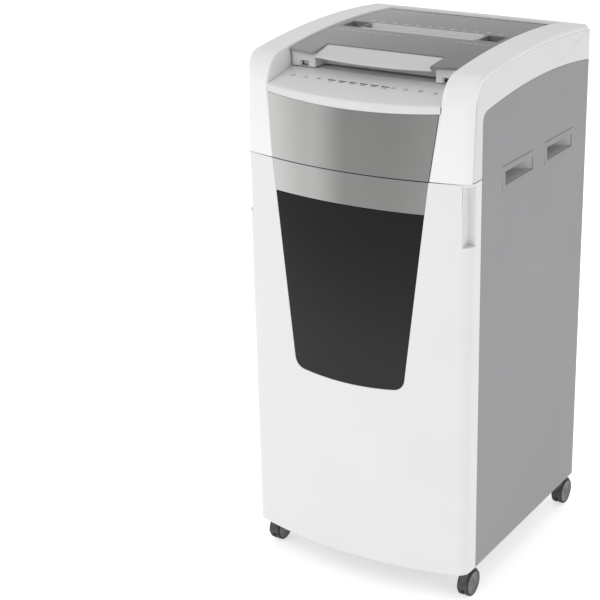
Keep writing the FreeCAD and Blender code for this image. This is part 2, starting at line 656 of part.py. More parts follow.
def feed_tray():
    """Open tub for the stack, with windows for the rollers, the feed slot and a ledge in front."""
    out = TRAY_HALF + WALL
    edge = RAIL_INNER - 0.5
    tub = box((-out, out), (TRAY_FRONT_Y - WALL, TRAY_BACK_Y + WALL), (TRAY_FLOOR_Z - WALL, TRAY_RIM_Z))
    flange = box((-edge, edge), (TRAY_FRONT_Y - WALL, RIM_BACK_Y - 10), (TRAY_RIM_Z - WALL, TRAY_RIM_Z))
    riser = box((-edge, edge), (TRAY_FRONT_Y - WALL, TRAY_FRONT_Y), (CONTROL_BACK_Z - WALL, TRAY_RIM_Z))
    ledge = box((-edge, edge), (CONTROL_BACK_Y + FIT, TRAY_FRONT_Y), (CONTROL_BACK_Z - WALL, CONTROL_BACK_Z))
    tray = tub.fuse([flange, riser, ledge])
    hollow = box((-TRAY_HALF, TRAY_HALF), (TRAY_FRONT_Y, TRAY_BACK_Y), (TRAY_FLOOR_Z, TOP_Z))
    finger_room = GRIP_HALF + GRIP_MARGIN + WALL + MOVE_GAP
    lip_room = box((-finger_room, finger_room), (TRAY_FRONT_Y - WALL - PAST, TRAY_FRONT_Y + PAST),
                   (CONTROL_BACK_Z, TOP_Z))
    tray = tray.cut(hollow).cut(lip_room)
    through = (TRAY_FLOOR_Z - WALL - PAST, TRAY_FLOOR_Z + PAST)
    half_slot = 0.5 * TRAY_SLOT
    tray = tray.cut(box((-TRAY_HALF, TRAY_HALF), (SLOT_Y - half_slot, SLOT_Y + half_slot), through))
    window_y = math.sqrt(ROLLER_R ** 2 - (TRAY_FLOOR_Z - WALL - ROLLER_Z) ** 2) + 1
    for roller_y in roller_ys():
        for x in TYRE_X:
            for side in (-1, 1):
                half = 0.5 * TYRE_W + TYRE_ROOM
                span = (side * x - half, side * x + half)
                tray = tray.cut(box(span, (roller_y - window_y, roller_y + window_y), through))
    return tray.removeSplitter()


def head_chassis():
    """Deck that carries the cutting unit, with a chute over the bin."""
    half = HALF_WIDTH - WALL - FIT
    deck = box((-half, half), (PANEL_FRONT_Y + 13, BACK_Y - WALL - FIT), (DECK_Z, DECK_Z + DECK_T))
    mouth_x, mouth_y = SLOT_HALF + CHUTE_MARGIN, CHUTE_HALF_Y
    outer = box((-mouth_x - WALL, mouth_x + WALL), (SLOT_Y - mouth_y - WALL, SLOT_Y + mouth_y + WALL),
                (BIN_TOP_Z + CHUTE_GAP, DECK_Z))
    inner = box((-mouth_x, mouth_x), (SLOT_Y - mouth_y, SLOT_Y + mouth_y),
                (BIN_TOP_Z, DECK_Z + DECK_T + PAST))
    return deck.fuse(outer).cut(inner)


def cutter_ys():
    return SLOT_Y - 0.5 * CUTTER_SPREAD, SLOT_Y + 0.5 * CUTTER_SPREAD


def roller_ys():
    return SLOT_Y - 0.5 * ROLLER_SPREAD, SLOT_Y + 0.5 * ROLLER_SPREAD


def pitch_r(module, teeth):
    return 0.5 * module * teeth


def reduction_axis():
    reach = pitch_r(MODULE, DRIVE_TEETH) + pitch_r(MODULE, SMALL_TEETH)
    return cutter_ys()[0] - math.sqrt(reach ** 2 - REDUCTION_RISE ** 2), CUTTER_Z + REDUCTION_RISE


def motor_axis():
    reach = pitch_r(FAST_MODULE, BIG_TEETH) + pitch_r(FAST_MODULE, PINION_TEETH)
    y, z = reduction_axis()
    return y - math.sqrt(reach ** 2 - MOTOR_DROP ** 2), z - MOTOR_DROP


def idler_axis():
    """Centre of the idler, which meshes with the front cutter's gear and the front roller's gear."""
    ay, az = cutter_ys()[0], CUTTER_Z
    by, bz = roller_ys()[0], ROLLER_Z
    idler = pitch_r(MODULE, IDLER_TEETH)
    to_a = idler + pitch_r(MODULE, SYNC_TEETH)
    to_b = idler + pitch_r(MODULE, ROLLER_TEETH)
    apart = math.hypot(by - ay, bz - az)
    along = (to_a ** 2 - to_b ** 2 + apart ** 2) / (2 * apart)
    aside = math.sqrt(to_a ** 2 - along ** 2)
    uy, uz = (by - ay) / apart, (bz - az) / apart
    return ay + along * uy - aside * uz, az + along * uz + aside * uy


def bush_places():
    """Shaft radius, axis and the sides (-1 left, 1 right) whose plate carries the shaft."""
    front, rear = cutter_ys()
    places = [(CUTTER_SHAFT_R, (front, CUTTER_Z), (-1, 1)), (CUTTER_SHAFT_R, (rear, CUTTER_Z), (-1, 1))]
    places += [(ROLLER_SHAFT_R, (y, ROLLER_Z), (-1, 1)) for y in roller_ys()]
    places += [(ROLLER_SHAFT_R, idler_axis(), (1,)), (ROLLER_SHAFT_R, reduction_axis(), (-1,))]
    return places


def plate_span(side):
    return (PLATE_IN, PLATE_IN + PLATE_T) if side > 0 else (-PLATE_IN - PLATE_T, -PLATE_IN)


def tie_places():
    heights = (DECK_Z + DECK_T + TIE_INSET, ROLLER_Z - TIE_INSET)
    return [(SLOT_Y + dy, z) for dy in (-TIE_REACH, TIE_REACH) for z in heights]


def cutter_side_plates():
    front = {1: SLOT_Y - PLATE_REACH, -1: motor_axis()[0] - MOTOR_R - 6}
    plates = []
    for side in (-1, 1):
        z = (DECK_Z + DECK_T, TRAY_FLOOR_Z - WALL - 1)
        plate = box(plate_span(side), (front[side], SLOT_Y + PLATE_REACH), z)
        x = (plate_span(side)[0] - PAST, plate_span(side)[1] + PAST)
        for radius, (y, z), sides in bush_places():
            if side in sides:
                plate = plate.cut(rod(radius + RUN + BUSH_WALL, x, y, z))
        if side < 0:
            plate = plate.cut(rod(MOTOR_SHAFT_R + 1, x, *motor_axis()))
        plates.append(plate)
    return group(plates)


def shaft_bearings():
    bushes = []
    for radius, (y, z), sides in bush_places():
        for side in sides:
            x = plate_span(side)
            bushes.append(rod(radius + RUN + BUSH_WALL, x, y, z).cut(rod(radius + RUN, x, y, z)))
    return group(bushes)


def cutter_tie_rods():
    return group([rod(TIE_R, (-PLATE_IN, PLATE_IN), y, z) for y, z in tie_places()])


def comb(way, axis_y, centres):
    """Comb whose fingers reach between the discs; way is -1 in front and 1 behind."""
    half = 0.5 * COMB_T
    reaches = (COMB_REACH, COMB_BACK - COMB_SPINE, COMB_BACK)
    tip, root, back = (axis_y + way * reach for reach in reaches)
    path = []
    for centre in centres:
        path += [(centre - half, root), (centre - half, tip), (centre + half, tip), (centre + half, root)]
    z = (CUTTER_Z - 0.5 * COMB_H, CUTTER_Z + 0.5 * COMB_H)
    return prism("z", z, (-PLATE_IN, back), (-PLATE_IN, root), *path, (PLATE_IN, root), (PLATE_IN, back))


def disc_centres(count):
    return [(k - 0.5 * (count - 1)) * DISC_PITCH for k in range(count)]


def stripper_combs():
    front, rear = cutter_ys()
    gaps_front = disc_centres(DISC_COUNT - 1)
    gaps_rear = disc_centres(DISC_COUNT)[1:-1]
    return group([comb(-1, front, gaps_front), comb(1, rear, gaps_rear)])


def cutter(y, count, ends):
    """Shaft with a stack of cutting discs, turned in one piece."""
    half = 0.5 * DISC_T
    stack = 0.5 * DISC_COUNT * DISC_PITCH
    outline = [(ends[0], 0), (ends[0], CUTTER_SHAFT_R), (-stack, CUTTER_SHAFT_R), (-stack, SPACER_R)]
    for centre in disc_centres(count):
        outline += [(centre - half, SPACER_R), (centre - half, DISC_R),
                    (centre + half, DISC_R), (centre + half, SPACER_R)]
    outline += [(stack, SPACER_R), (stack, CUTTER_SHAFT_R), (ends[1], CUTTER_SHAFT_R), (ends[1], 0)]
    points = [Vector(x, y, CUTTER_Z + r) for x, r in outline]
    face = Part.Face(Part.makePolygon(points + points[:1]))
    return face.revolve(Vector(0, y, CUTTER_Z), Vector(1, 0, 0), 360)


def involute(angle):
    return math.tan(angle) - angle


def gear(module, teeth, x, axis, bore, phase):
    """Spur gear along X. phase is the angle from +Y towards +Z of one tooth's middle."""
    pitch = pitch_r(module, teeth)
    base = pitch * math.cos(PRESSURE_ANGLE)
    outer, root = pitch + ADDENDUM * module, pitch - DEDENDUM * module
    half = (0.5 * math.pi * module - BACKLASH) / (2 * pitch) + involute(PRESSURE_ANGLE)
    start = max(base, root)
    flank = [start + (outer - start) * k / 3 for k in range(4)]
    offsets = [(root, half - involute(math.acos(base / start)))] if root < base else []
    offsets += [(r, half - involute(math.acos(base / r))) for r in flank]
    points = []
    for k in range(teeth):
        middle = phase + 2 * math.pi * k / teeth
        ring = [(r, middle - a) for r, a in offsets] + [(r, middle + a) for r, a in reversed(offsets)]
        points += [Vector(x[0], axis[0] + r * math.cos(t), axis[1] + r * math.sin(t)) for r, t in ring]
    wheel = Part.Face(Part.makePolygon(points + points[:1])).extrude(Vector(x[1] - x[0], 0, 0))
    return wheel.cut(rod(bore, (x[0] - PAST, x[1] + PAST), *axis)) if bore else wheel


def mesh_phase(axis_a, teeth_a, phase_a, axis_b, teeth_b):
    """Phase of gear b that puts its teeth in the gaps of gear a."""
    line = math.atan2(axis_b[1] - axis_a[1], axis_b[0] - axis_a[0])
    pitch_a = 2 * math.pi / teeth_a
    ahead = (phase_a - line) % pitch_a
    return line + math.pi + math.pi / teeth_b - ahead * teeth_a / teeth_b


def gear_train():
    """Every gear of the drive, in mesh."""
    front, rear = ((y, CUTTER_Z) for y in cutter_ys())
    roller_front, roller_rear = ((y, ROLLER_Z) for y in roller_ys())
    right = (PLATE_IN + PLATE_T + GEAR_GAP, PLATE_IN + PLATE_T + GEAR_GAP + GEAR_W)
    slow = (-right[1], -right[0])
    fast = (slow[0] - GEAR_W - GEAR_STEP, slow[0] - GEAR_STEP)
    idler_phase = mesh_phase(front, SYNC_TEETH, 0.0, idler_axis(), IDLER_TEETH)
    roller_phase = mesh_phase(idler_axis(), IDLER_TEETH, idler_phase, roller_front, ROLLER_TEETH)
    twin_phase = mesh_phase(roller_front, ROLLER_TEETH, roller_phase, roller_rear, ROLLER_TEETH)
    rear_phase = mesh_phase(front, SYNC_TEETH, 0.0, rear, SYNC_TEETH)
    small_phase = mesh_phase(front, DRIVE_TEETH, 0.0, reduction_axis(), SMALL_TEETH)
    pinion_phase = mesh_phase(reduction_axis(), BIG_TEETH, 0.0, motor_axis(), PINION_TEETH)
    shaft_in = -PLATE_IN + 20
    parts = {
        "front_sync_gear": gear(MODULE, SYNC_TEETH, right, front, CUTTER_SHAFT_R, 0.0),
        "rear_sync_gear": gear(MODULE, SYNC_TEETH, right, rear, CUTTER_SHAFT_R, rear_phase),
        "cutter_drive_gear": gear(MODULE, DRIVE_TEETH, slow, front, CUTTER_SHAFT_R, 0.0),
    }
    idler = gear(MODULE, IDLER_TEETH, right, idler_axis(), 0, idler_phase)
    parts["idler_gear"] = idler.fuse(rod(ROLLER_SHAFT_R, (PLATE_IN - 6, right[0]), *idler_axis()))
    for name, axis, phase in (("front", roller_front, roller_phase), ("rear", roller_rear, twin_phase)):
        wheel = gear(MODULE, ROLLER_TEETH, right, axis, 0, phase)
        shaft = rod(ROLLER_SHAFT_R, (-PLATE_IN - PLATE_T, right[0]), *axis)
        parts[name + "_roller_shaft"] = wheel.fuse(shaft)
    small = gear(MODULE, SMALL_TEETH, slow, reduction_axis(), 0, small_phase)
    big = gear(FAST_MODULE, BIG_TEETH, fast, reduction_axis(), 0, 0.0)
    stub = rod(ROLLER_SHAFT_R, (slow[0] - 3, shaft_in), *reduction_axis())
    parts["reduction_gear"] = big.fuse([small, stub])
    pinion = gear(FAST_MODULE, PINION_TEETH, fast, motor_axis(), 0, pinion_phase)
    shaft = rod(MOTOR_SHAFT_R, (fast[1] - 3, -PLATE_IN + MOTOR_LENGTH - 5), *motor_axis())
    core_x = (-PLATE_IN + 16, -PLATE_IN + MOTOR_LENGTH - 20)
    core = rod(MOTOR_R - MOTOR_SHELL - ROTOR_GAP, core_x, *motor_axis())
    parts["motor_rotor"] = pinion.fuse([shaft, core])
    return parts


def motor_housing():
    axis = motor_axis()
    x = (-PLATE_IN, -PLATE_IN + MOTOR_LENGTH)
    hollow = rod(MOTOR_R - MOTOR_SHELL, (x[0] + MOTOR_FRONT_T, x[1] - MOTOR_SHELL), *axis)
    case = rod(MOTOR_R, x, *axis).cut(hollow)
    feet = box((x[0] + 15, x[1] - 15), (axis[0] - FOOT_HALF, axis[0] + FOOT_HALF),
               (DECK_Z + DECK_T, axis[1] - MOTOR_R + 6))
    feet = feet.cut(rod(MOTOR_R - 2, x, *axis))
    return case.cut(rod(MOTOR_SHAFT_R + RUN, (x[0] - PAST, x[1] - 4), *axis)).fuse(feet).removeSplitter()


def roller_tyres(y):
    tyres = []
    for x in TYRE_X:
        for side in (-1, 1):
            span = (side * x - 0.5 * TYRE_W, side * x + 0.5 * TYRE_W)
            tyres.append(rod(ROLLER_R, span, y, ROLLER_Z).cut(rod(ROLLER_SHAFT_R, span, y, ROLLER_Z)))
    return group(tyres)


def main_board():
    """Board on four posts, with its transformer, capacitor and relay."""
    low = DECK_Z + DECK_T + MAIN_BOARD_LIFT
    top = low + BOARD_T
    left, right = MAIN_BOARD_X
    front, back = MAIN_BOARD_Y
    inset = MAIN_POST_INSET
    board = box(MAIN_BOARD_X, MAIN_BOARD_Y, (low, top))
    posts = [post(POST_R, x, y, (DECK_Z + DECK_T, low))
             for x in (left + inset, right - inset) for y in (front + inset, back - inset)]
    transformer = box((left + 10, left + 45), (front + 15, front + 55), (top, top + 30))
    capacitor = post(11.0, right - 20, front + 35, (top, top + 35))
    relay = box((left + 15, left + 35), (front + 75, front + 103), (top, top + 16))
    return group([board.fuse(posts), transformer, capacitor, relay])


def power_inlet():
    """Rear inlet with three blades, and the pocket of the mains rocker above it."""
    x = (INLET_X - 0.5 * INLET_W, INLET_X + 0.5 * INLET_W)
    z = (INLET_Z - 0.5 * INLET_H, INLET_Z + 0.5 * INLET_H)
    out = BACK_Y + INLET_PROUD
    body = box(x, (BACK_Y - INLET_DEPTH, out), z)
    flange = box((x[0] - INLET_FLANGE, x[1] + INLET_FLANGE), (BACK_Y, out),
                 (z[0] - INLET_FLANGE, z[1] + INLET_FLANGE))
    mouth = (BACK_Y - SOCKET_DEPTH, out + PAST)
    sill = z[0] + SOCKET_SILL
    socket = box((x[0] + SOCKET_WALL, x[1] - SOCKET_WALL), mouth, (sill, sill + SOCKET_H))
    blades = []
    for column in (-1, 0, 1):
        middle = sill + 0.5 * SOCKET_H + (0.5 * EARTH_RISE if column == 0 else -0.5 * EARTH_RISE)
        side = INLET_X + column * BLADE_PITCH - 0.5 * BLADE_T
        blades.append(box((side, side + BLADE_T), (mouth[0] - PAST, BACK_Y - BLADE_INSET),
                          (middle - 0.5 * BLADE_H, middle + 0.5 * BLADE_H)))
    pocket_half = ROCKER_HALF + 1
    pocket = box((INLET_X - pocket_half, INLET_X + pocket_half), mouth, (ROCKER_Z - 12, ROCKER_Z + 12))
    trunnion = rod(ROCKER_R + RUN, (INLET_X - ROCKER_HALF - 3, INLET_X + ROCKER_HALF + 3), ROCKER_Y, ROCKER_Z)
    return body.fuse(flange).cut(socket).fuse(blades).cut(pocket).cut(trunnion)


def switch_rocker():
    """Rocker with a hollow face, resting on its off side."""
    y, z = ROCKER_Y, ROCKER_Z
    key = prism("x", (INLET_X - ROCKER_HALF, INLET_X + ROCKER_HALF), (y - 4, z - 9), (y + 5, z - 10.5),
                (y + 3.6, z, y + 5, z + 10.5), (y - 4, z + 9))
    trunnion_half = ROCKER_HALF + 2.5
    key = key.fuse(rod(ROCKER_R, (INLET_X - trunnion_half, INLET_X + trunnion_half), y, z))
    key.rotate(Vector(INLET_X, y, z), Vector(1, 0, 0), -ROCKER_DEG)
    return key


def runners():
    """Fixed channels on the frames and the drawer's own bars that slide in them."""
    inner = FRAME_OUT - FRAME_T
    web = inner - RUNNER_WEB
    y = (PANEL_FRONT_Y + 20, BACK_Y - 15)
    groove_z = (RUNNER_Z[0] + RUNNER_FLANGE, RUNNER_Z[1] - RUNNER_FLANGE)
    channel = box((inner - RUNNER_T, inner), y, RUNNER_Z)
    groove = box((inner - RUNNER_T - PAST, web), (y[0] - PAST, y[1] + PAST), groove_z)
    bar_z = (groove_z[0] + MOVE_GAP, groove_z[1] - MOVE_GAP)
    bar = box((tray_half(), web - MOVE_GAP), (y[0], BIN_BACK_Y), bar_z)
    fixed = channel.cut(groove)
    return group([fixed, mirrored(fixed)]), group([bar, mirrored(bar)])


def tray_half():
    return BIN_HALF + TRAY_SIDE_GAP


def drawer_pull_room():
    return box((PULL_X, HALF_WIDTH + PAST), (PULL_BACK_Y - PULL_DEPTH, PULL_BACK_Y), PULL_Z)


def drawer_front():
    """Bowed white shell with side returns, a bottom shelf, a window seat and corner pulls."""
    z = (BASE_Z, SEAM_Z - SEAM_GAP)
    back = PANEL_FRONT_Y - MOVE_GAP
    skin = plan_block(0.0, z, back).cut(plan_block(WALL, (z[0] - PAST, z[1] + PAST), back + 1))
    opening = taper_block(TRIM_BOTTOM_Z - 1, SEAM_Z + 5).fuse(window_block())
    skin = skin.cut(opening)
    seat = plan_block(WALL, z, back).cut(plan_block(WALL + SEAT_T, (z[0] - PAST, z[1] + PAST), back + 1))
    wide = window_block(-WINDOW_SEAT, top=SEAM_Z - 2)
    seat = seat.common(wide).cut(window_block(WINDOW_SEAT, top=SEAM_Z + 5))
    shelf = plan_block(WALL, (SHELF_Z, SHELF_Z + WALL), back)
    front = skin.fuse([seat, shelf])
    lined = box((PULL_X - WALL, HALF_WIDTH), (PULL_BACK_Y - PULL_DEPTH, PULL_BACK_Y + WALL),
                (PULL_Z[0] - WALL, PULL_Z[1] + WALL))
    liner = lined.common(plan_block(0.0, z, back))
    for turn in (lambda s: s, mirrored):
        front = front.fuse(turn(liner)).cut(turn(drawer_pull_room()))
    return front.removeSplitter()


def drawer_trim():
    z = (TRIM_BOTTOM_Z + FIT, SEAM_Z - SEAM_GAP)
    ring = plan_block(0.0, z, -150).cut(plan_block(WALL, (z[0] - PAST, z[1] + PAST), -149))
    return ring.common(taper_block(z[0], z[1], FIT))


def window():
    z = (WINDOW_BOTTOM_Z - 5, TRIM_BOTTOM_Z - FIT)
    ring = plan_block(0.0, z, -150).cut(plan_block(WALL, (z[0] - PAST, z[1] + PAST), -149))
    return ring.common(window_block(FIT, top=TRIM_BOTTOM_Z - FIT))


def drawer_base():
    """Tray that carries the bin, with upstands for the runners."""
    half = tray_half()
    z = SHELF_Z + WALL
    y = (PANEL_FRONT_Y - TRAY_FRONT_GAP, BIN_BACK_Y + 1 + WALL)
    floor = box((-half, half), y, (z, z + TRAY_T))
    wall = box((half - WALL, half), y, (z, RUNNER_Z[1] + 8))
    rear = box((-half, half), (y[1] - WALL, y[1]), (z, z + 25))
    return floor.fuse([wall, mirrored(wall), rear]).removeSplitter()


def waste_bin():
    z = (SHELF_Z + WALL + TRAY_T, BIN_TOP_Z)

    def tub(inset, bottom, top):
        return plan_block(BIN_INSET + inset, (bottom, top), BIN_BACK_Y - inset).common(
            box((-BIN_HALF + inset, BIN_HALF - inset), (FRONT_Y, BACK_Y), (bottom, top)))

    return tub(0.0, *z).cut(tub(BIN_WALL, z[0] + BIN_WALL, z[1] + 1))


def castor(side, axle_y):
    """Hood with its stem, and the pair of wheels on their axle."""
    x, y = side * CASTOR_X, axle_y - TRAIL
    inner, outer = 0.5 * WHEEL_SPACE, 0.5 * WHEEL_SPACE + WHEEL_W
    clear_r = WHEEL_R + TREAD_GAP
    across = (x - outer - 6, x + outer + 6)
    wheel_room = rod(clear_r, across, axle_y, WHEEL_R)
    web_x = (x - inner + SWIVEL_GAP, x + inner - SWIVEL_GAP)
    web = rod(WEB_R, web_x, axle_y, WHEEL_R)
    cover_x = (x - outer + 1.5, x + outer - 1.5)
    cover = rod(clear_r + HOOD_T, cover_x, axle_y, WHEEL_R).cut(wheel_room)
    keep = prism("x", cover_x, (axle_y, WHEEL_R), (axle_y + 40, WHEEL_R + 45), (axle_y - 60, WHEEL_R + 60),
                 (axle_y - 60, WHEEL_R - 8))
    bridge_r = clear_r + 0.5 * HOOD_T
    bridge = box(web_x, (axle_y - bridge_r, axle_y), (WHEEL_R, WHEEL_R + 25))
    bridge = bridge.common(rod(bridge_r, cover_x, axle_y, WHEEL_R))
    housing = post(HOUSING_R, x, y, (WHEEL_R, BASE_Z - COLLAR_T)).cut(wheel_room)
    stem = post(STEM_R, x, y, (WHEEL_R + 20, BASE_Z + BASE_T)).cut(wheel_room)
    collar = post(HOUSING_R, x, y, (BASE_Z - COLLAR_T, BASE_Z - SWIVEL_GAP))
    hood = cover.common(keep).fuse([web, bridge, housing, stem, collar])
    hood = hood.cut(rod(AXLE_R + RUN, across, axle_y, WHEEL_R)).removeSplitter()
    wheels = []
    for low, high in ((-outer, -inner), (inner, outer)):
        tyre = rod(WHEEL_R, (x + low, x + high), axle_y, WHEEL_R)
        edge = [e for e in tyre.Edges if isinstance(e.Curve, Part.Circle)]
        tyre = tyre.makeFillet(WHEEL_EDGE_R, edge)
        wheels.append(tyre.cut(rod(AXLE_R, across, axle_y, WHEEL_R)))
    axle = rod(AXLE_R, (x - outer + 1, x + outer - 1), axle_y, WHEEL_R)
    return hood, group(wheels + [axle])


def bolt_z():
    """Lower and upper face of the lock's bolt."""
    low = SKIRT_BOTTOM_Z + 3.6
    return low, low + BOLT_H


def lock():
    """Solenoid behind the left skirt, and the bolt that enters the skirt's window."""
    back = TRAY_FRONT_Y - WALL
    front = back - LOCK_DEPTH
    z = bolt_z()
    half = 0.5 * BOLT_W
    case_half, room_half = half + CASE_MARGIN, half + BOLT_GAP
    case = box((LOCK_X - case_half, LOCK_X + case_half), (front, back),
               (z[0] - CASE_FLOOR, z[1] + CASE_FLOOR))
    room = box((LOCK_X - room_half, LOCK_X + room_half), (front - PAST, back - 2),
               (z[0] - BOLT_GAP, z[1] + BOLT_GAP))
    bolt = box((LOCK_X - half, LOCK_X + half), (RIM_FRONT_Y + WALL + 2, back - 3), z)
    return case.cut(room), bolt


def frame_screws():
    """Screws through the rear panel into the frames and the deck."""
    screws = []
    for x in (-SCREW_X, SCREW_X):
        for z in SCREW_Z:
            head = Part.makeCylinder(SCREW_R, SCREW_T, Vector(x, BACK_Y, z), Vector(0, 1, 0))
            floor = Vector(x, BACK_Y + SCREW_FLOOR_T, z)
            screws.append(head.cut(Part.makeCylinder(SCREW_RECESS_R, SCREW_T, floor, Vector(0, 1, 0))))
    return group(screws)


def all_parts():
    shell = head_shell()
    rail, band = right_rail(shell), right_side_band(shell)
    panel, cups = right_side_panel(), right_grip_cups()
    fixed_runners, drawer_runners = runners()
    lock_housing, lock_bolt = lock()
    parts = {
        "base_plate": base_plate(),
        "side_frames": side_frames(),
        "right_side_panel": panel,
        "left_side_panel": mirrored(panel),
        "side_grip_cups": group([cups, mirrored(cups)]),
        "side_bands": group([band, mirrored(band)]),
        "right_rail": rail,
        "left_rail": mirrored(rail),
        "rear_bar": rear_bar(shell),
        "rear_panel": rear_panel(),
        "head_front_panel": head_front_panel(),
        "control_panel": control_panel(),
        "control_board": control_board(),
        "feed_tray": feed_tray(),
        "head_chassis": head_chassis(),
        "cutter_side_plates": cutter_side_plates(),
        "shaft_bearings": shaft_bearings(),
        "cutter_tie_rods": cutter_tie_rods(),
        "stripper_combs": stripper_combs(),
        "motor_housing": motor_housing(),
        "main_board": main_board(),
        "power_inlet": power_inlet(),
        "fixed_runners": fixed_runners,
        "lid_hinge_pins": lid_hinge_pins(),
        "lock_housing": lock_housing,
        "frame_screws": frame_screws(),
        "drawer_front": drawer_front(),
        "drawer_trim": drawer_trim(),
        "window": window(),
        "drawer_base": drawer_base(),
        "drawer_runners": drawer_runners,
        "waste_bin": waste_bin(),
        "lid_panel": lid_panel(),
        "lid_frame": lid_frame(),
        "lid_handle": lid_handle(),
        "manual_feed_throat": manual_feed_throat(),
        "presser_plate": presser(),
        "lock_bolt": lock_bolt,
        "switch_rocker": switch_rocker(),
    }
    cutter_end = PLATE_IN + PLATE_T + GEAR_GAP + GEAR_W + 1
    front, rear = cutter_ys()
    parts["front_cutter"] = cutter(front, DISC_COUNT, (-cutter_end, cutter_end))
    parts["rear_cutter"] = cutter(rear, DISC_COUNT - 1, (-PLATE_IN - PLATE_T, cutter_end))
    parts["front_roller_tyres"] = roller_tyres(roller_ys()[0])
    parts["rear_roller_tyres"] = roller_tyres(roller_ys()[1])
    parts.update(gear_train())
    for row, axle_y in zip(("front", "rear"), AXLE_Y):
        for side, word in ((-1, "left"), (1, "right")):
            hood, wheels = castor(side, axle_y)
            parts[f"{row}_{word}_castor_hood"] = hood
            parts[f"{row}_{word}_castor_wheels"] = wheels
    return parts


def main():
    os.makedirs("parts", exist_ok=True)
    parts = all_parts()
    for name, shape in parts.items():
        for solid in shape.Solids:
            if not solid.isValid() or solid.Volume <= 0:
                raise ValueError(f"{name} has a bad solid")
        if not shape.Solids:
            raise ValueError(f"{name} is empty")
        shape.exportStep(f"parts/{name}.step")
    print(len(parts), "sub-parts written")


main()
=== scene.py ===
import json
import math

import bmesh
import bpy
from mathutils import Matrix, Vector
from mathutils.geometry import intersect_line_line_2d

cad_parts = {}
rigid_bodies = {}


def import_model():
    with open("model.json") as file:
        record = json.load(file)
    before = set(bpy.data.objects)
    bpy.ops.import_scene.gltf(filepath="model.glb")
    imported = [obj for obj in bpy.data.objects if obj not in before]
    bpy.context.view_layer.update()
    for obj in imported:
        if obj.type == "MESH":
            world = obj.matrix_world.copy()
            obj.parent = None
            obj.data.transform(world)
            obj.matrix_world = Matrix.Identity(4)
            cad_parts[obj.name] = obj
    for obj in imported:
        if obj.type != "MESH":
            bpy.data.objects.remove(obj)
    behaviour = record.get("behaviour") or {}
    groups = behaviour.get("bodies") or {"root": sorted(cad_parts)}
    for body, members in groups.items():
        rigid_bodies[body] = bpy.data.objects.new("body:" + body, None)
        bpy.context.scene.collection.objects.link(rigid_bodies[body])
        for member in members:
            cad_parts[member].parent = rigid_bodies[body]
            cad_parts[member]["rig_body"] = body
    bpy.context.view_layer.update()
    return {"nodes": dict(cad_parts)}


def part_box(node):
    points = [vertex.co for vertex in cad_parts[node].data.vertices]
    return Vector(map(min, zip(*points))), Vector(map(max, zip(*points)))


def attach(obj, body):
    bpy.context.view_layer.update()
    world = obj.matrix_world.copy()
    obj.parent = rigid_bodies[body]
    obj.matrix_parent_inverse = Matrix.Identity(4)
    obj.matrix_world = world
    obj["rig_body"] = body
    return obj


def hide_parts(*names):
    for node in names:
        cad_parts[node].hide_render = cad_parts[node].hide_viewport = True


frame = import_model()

bl_info = {
    "name": "Office Paper Shredder",
    "version": (1, 0, 0),
    "blender": (4, 5, 0),
    "location": "3D View > Sidebar > Shredder",
    "description": "Builds the visible shells, fittings and finishes of an office paper shredder",
    "category": "Object",
}

# Places taken from the frame, in metres
SIDE_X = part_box("right_side_panel")[1].x
FRONT_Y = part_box("drawer_front")[0].y
BACK_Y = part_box("rear_panel")[1].y
TOP_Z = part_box("right_rail")[1].z
HEAD_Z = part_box("right_rail")[0].z
SHELF_TOP_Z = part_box("rear_panel")[1].z
PANEL_BACK_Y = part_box("control_panel")[1].y
PANEL_BACK_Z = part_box("control_panel")[1].z
LIP_MID_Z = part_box("control_panel")[0].z
PANEL_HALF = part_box("control_panel")[1].x
REAR_BAR_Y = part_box("rear_bar")[0].y
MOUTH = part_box("manual_feed_throat")
SKIRT_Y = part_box("lid_frame")[0].y
LATCH_X = 0.155
LATCH_Z = 1.049

# Sizes of the outer form, in metres
BOW_R = 0.802
CORNER_R = 0.026
LEAN = 0.07
WALL = 0.003
FIT = 0.0004
RAIL_IN = PANEL_HALF + FIT
CREST_Y = 0.040
CREST_R = 1.950
RAIL_FRONT_R = 0.058
RAIL_BACK_R = 0.012
RAIL_EDGE = 0.010
RAIL_INNER_R = 0.0028
RAIL_TURN_IN = 0.005
FLANGE_FROM = 0.013
SHOULDER_R = 0.0095
RIM_R = 0.0003
BAND_SETBACK = 0.048
BAND_FRONT_R = 0.045
TAPER_HALF = 0.170
TAPER_SLOPE = 0.1138
LID_DROP = 0.004
PANEL_SLOPE = 0.194
CORNER_X = SIDE_X - CORNER_R

# Grip recesses in the sides: front and rear ends, bottom and top of the hole
GRIP_SPANS = ((-0.104, 0.013), (0.080, 0.194))
GRIP_Z = (0.845, 0.871)
GRIP_DEPTH = 0.030
GRIP_FIELDS = ((-0.119, 0.028), (0.065, 0.209))
GRIP_FIELD_Z = (HEAD_Z - 0.052, HEAD_Z)
GRIP_STEP = 0.002

NO_TURN = (0.0, 0.0, 0.0)
ROWS = ("front", "rear")
SIDES = ("left", "right")

# Printed marks: height, gap to the surface below, and the two rows on the lid
PRINT_H = 0.0002
PRINT_LIFT = 0.00002
SIGN_ROW_Y = 0.063
GUIDE_ROW_Y = -0.030

# The faces of a block with corners 0 to 3 round one end and 4 to 7 round the other
BLOCK_FACES = ((0, 1, 2, 3), (7, 6, 5, 4), (0, 4, 5, 1), (1, 5, 6, 2), (2, 6, 7, 3), (3, 7, 4, 0))


# ---------------------------------------------------------------- small tools

def new_object(name, mesh):
    thing = bpy.data.objects.new(name, mesh)
    bpy.context.scene.collection.objects.link(thing)
    return thing


def shade(mesh, angle=35.0):
    """Smooth faces, with sharp edges where two faces meet at more than the angle."""
    mesh.polygons.foreach_set("use_smooth", [True] * len(mesh.polygons))
    mesh.set_sharp_from_angle(angle=math.radians(angle))


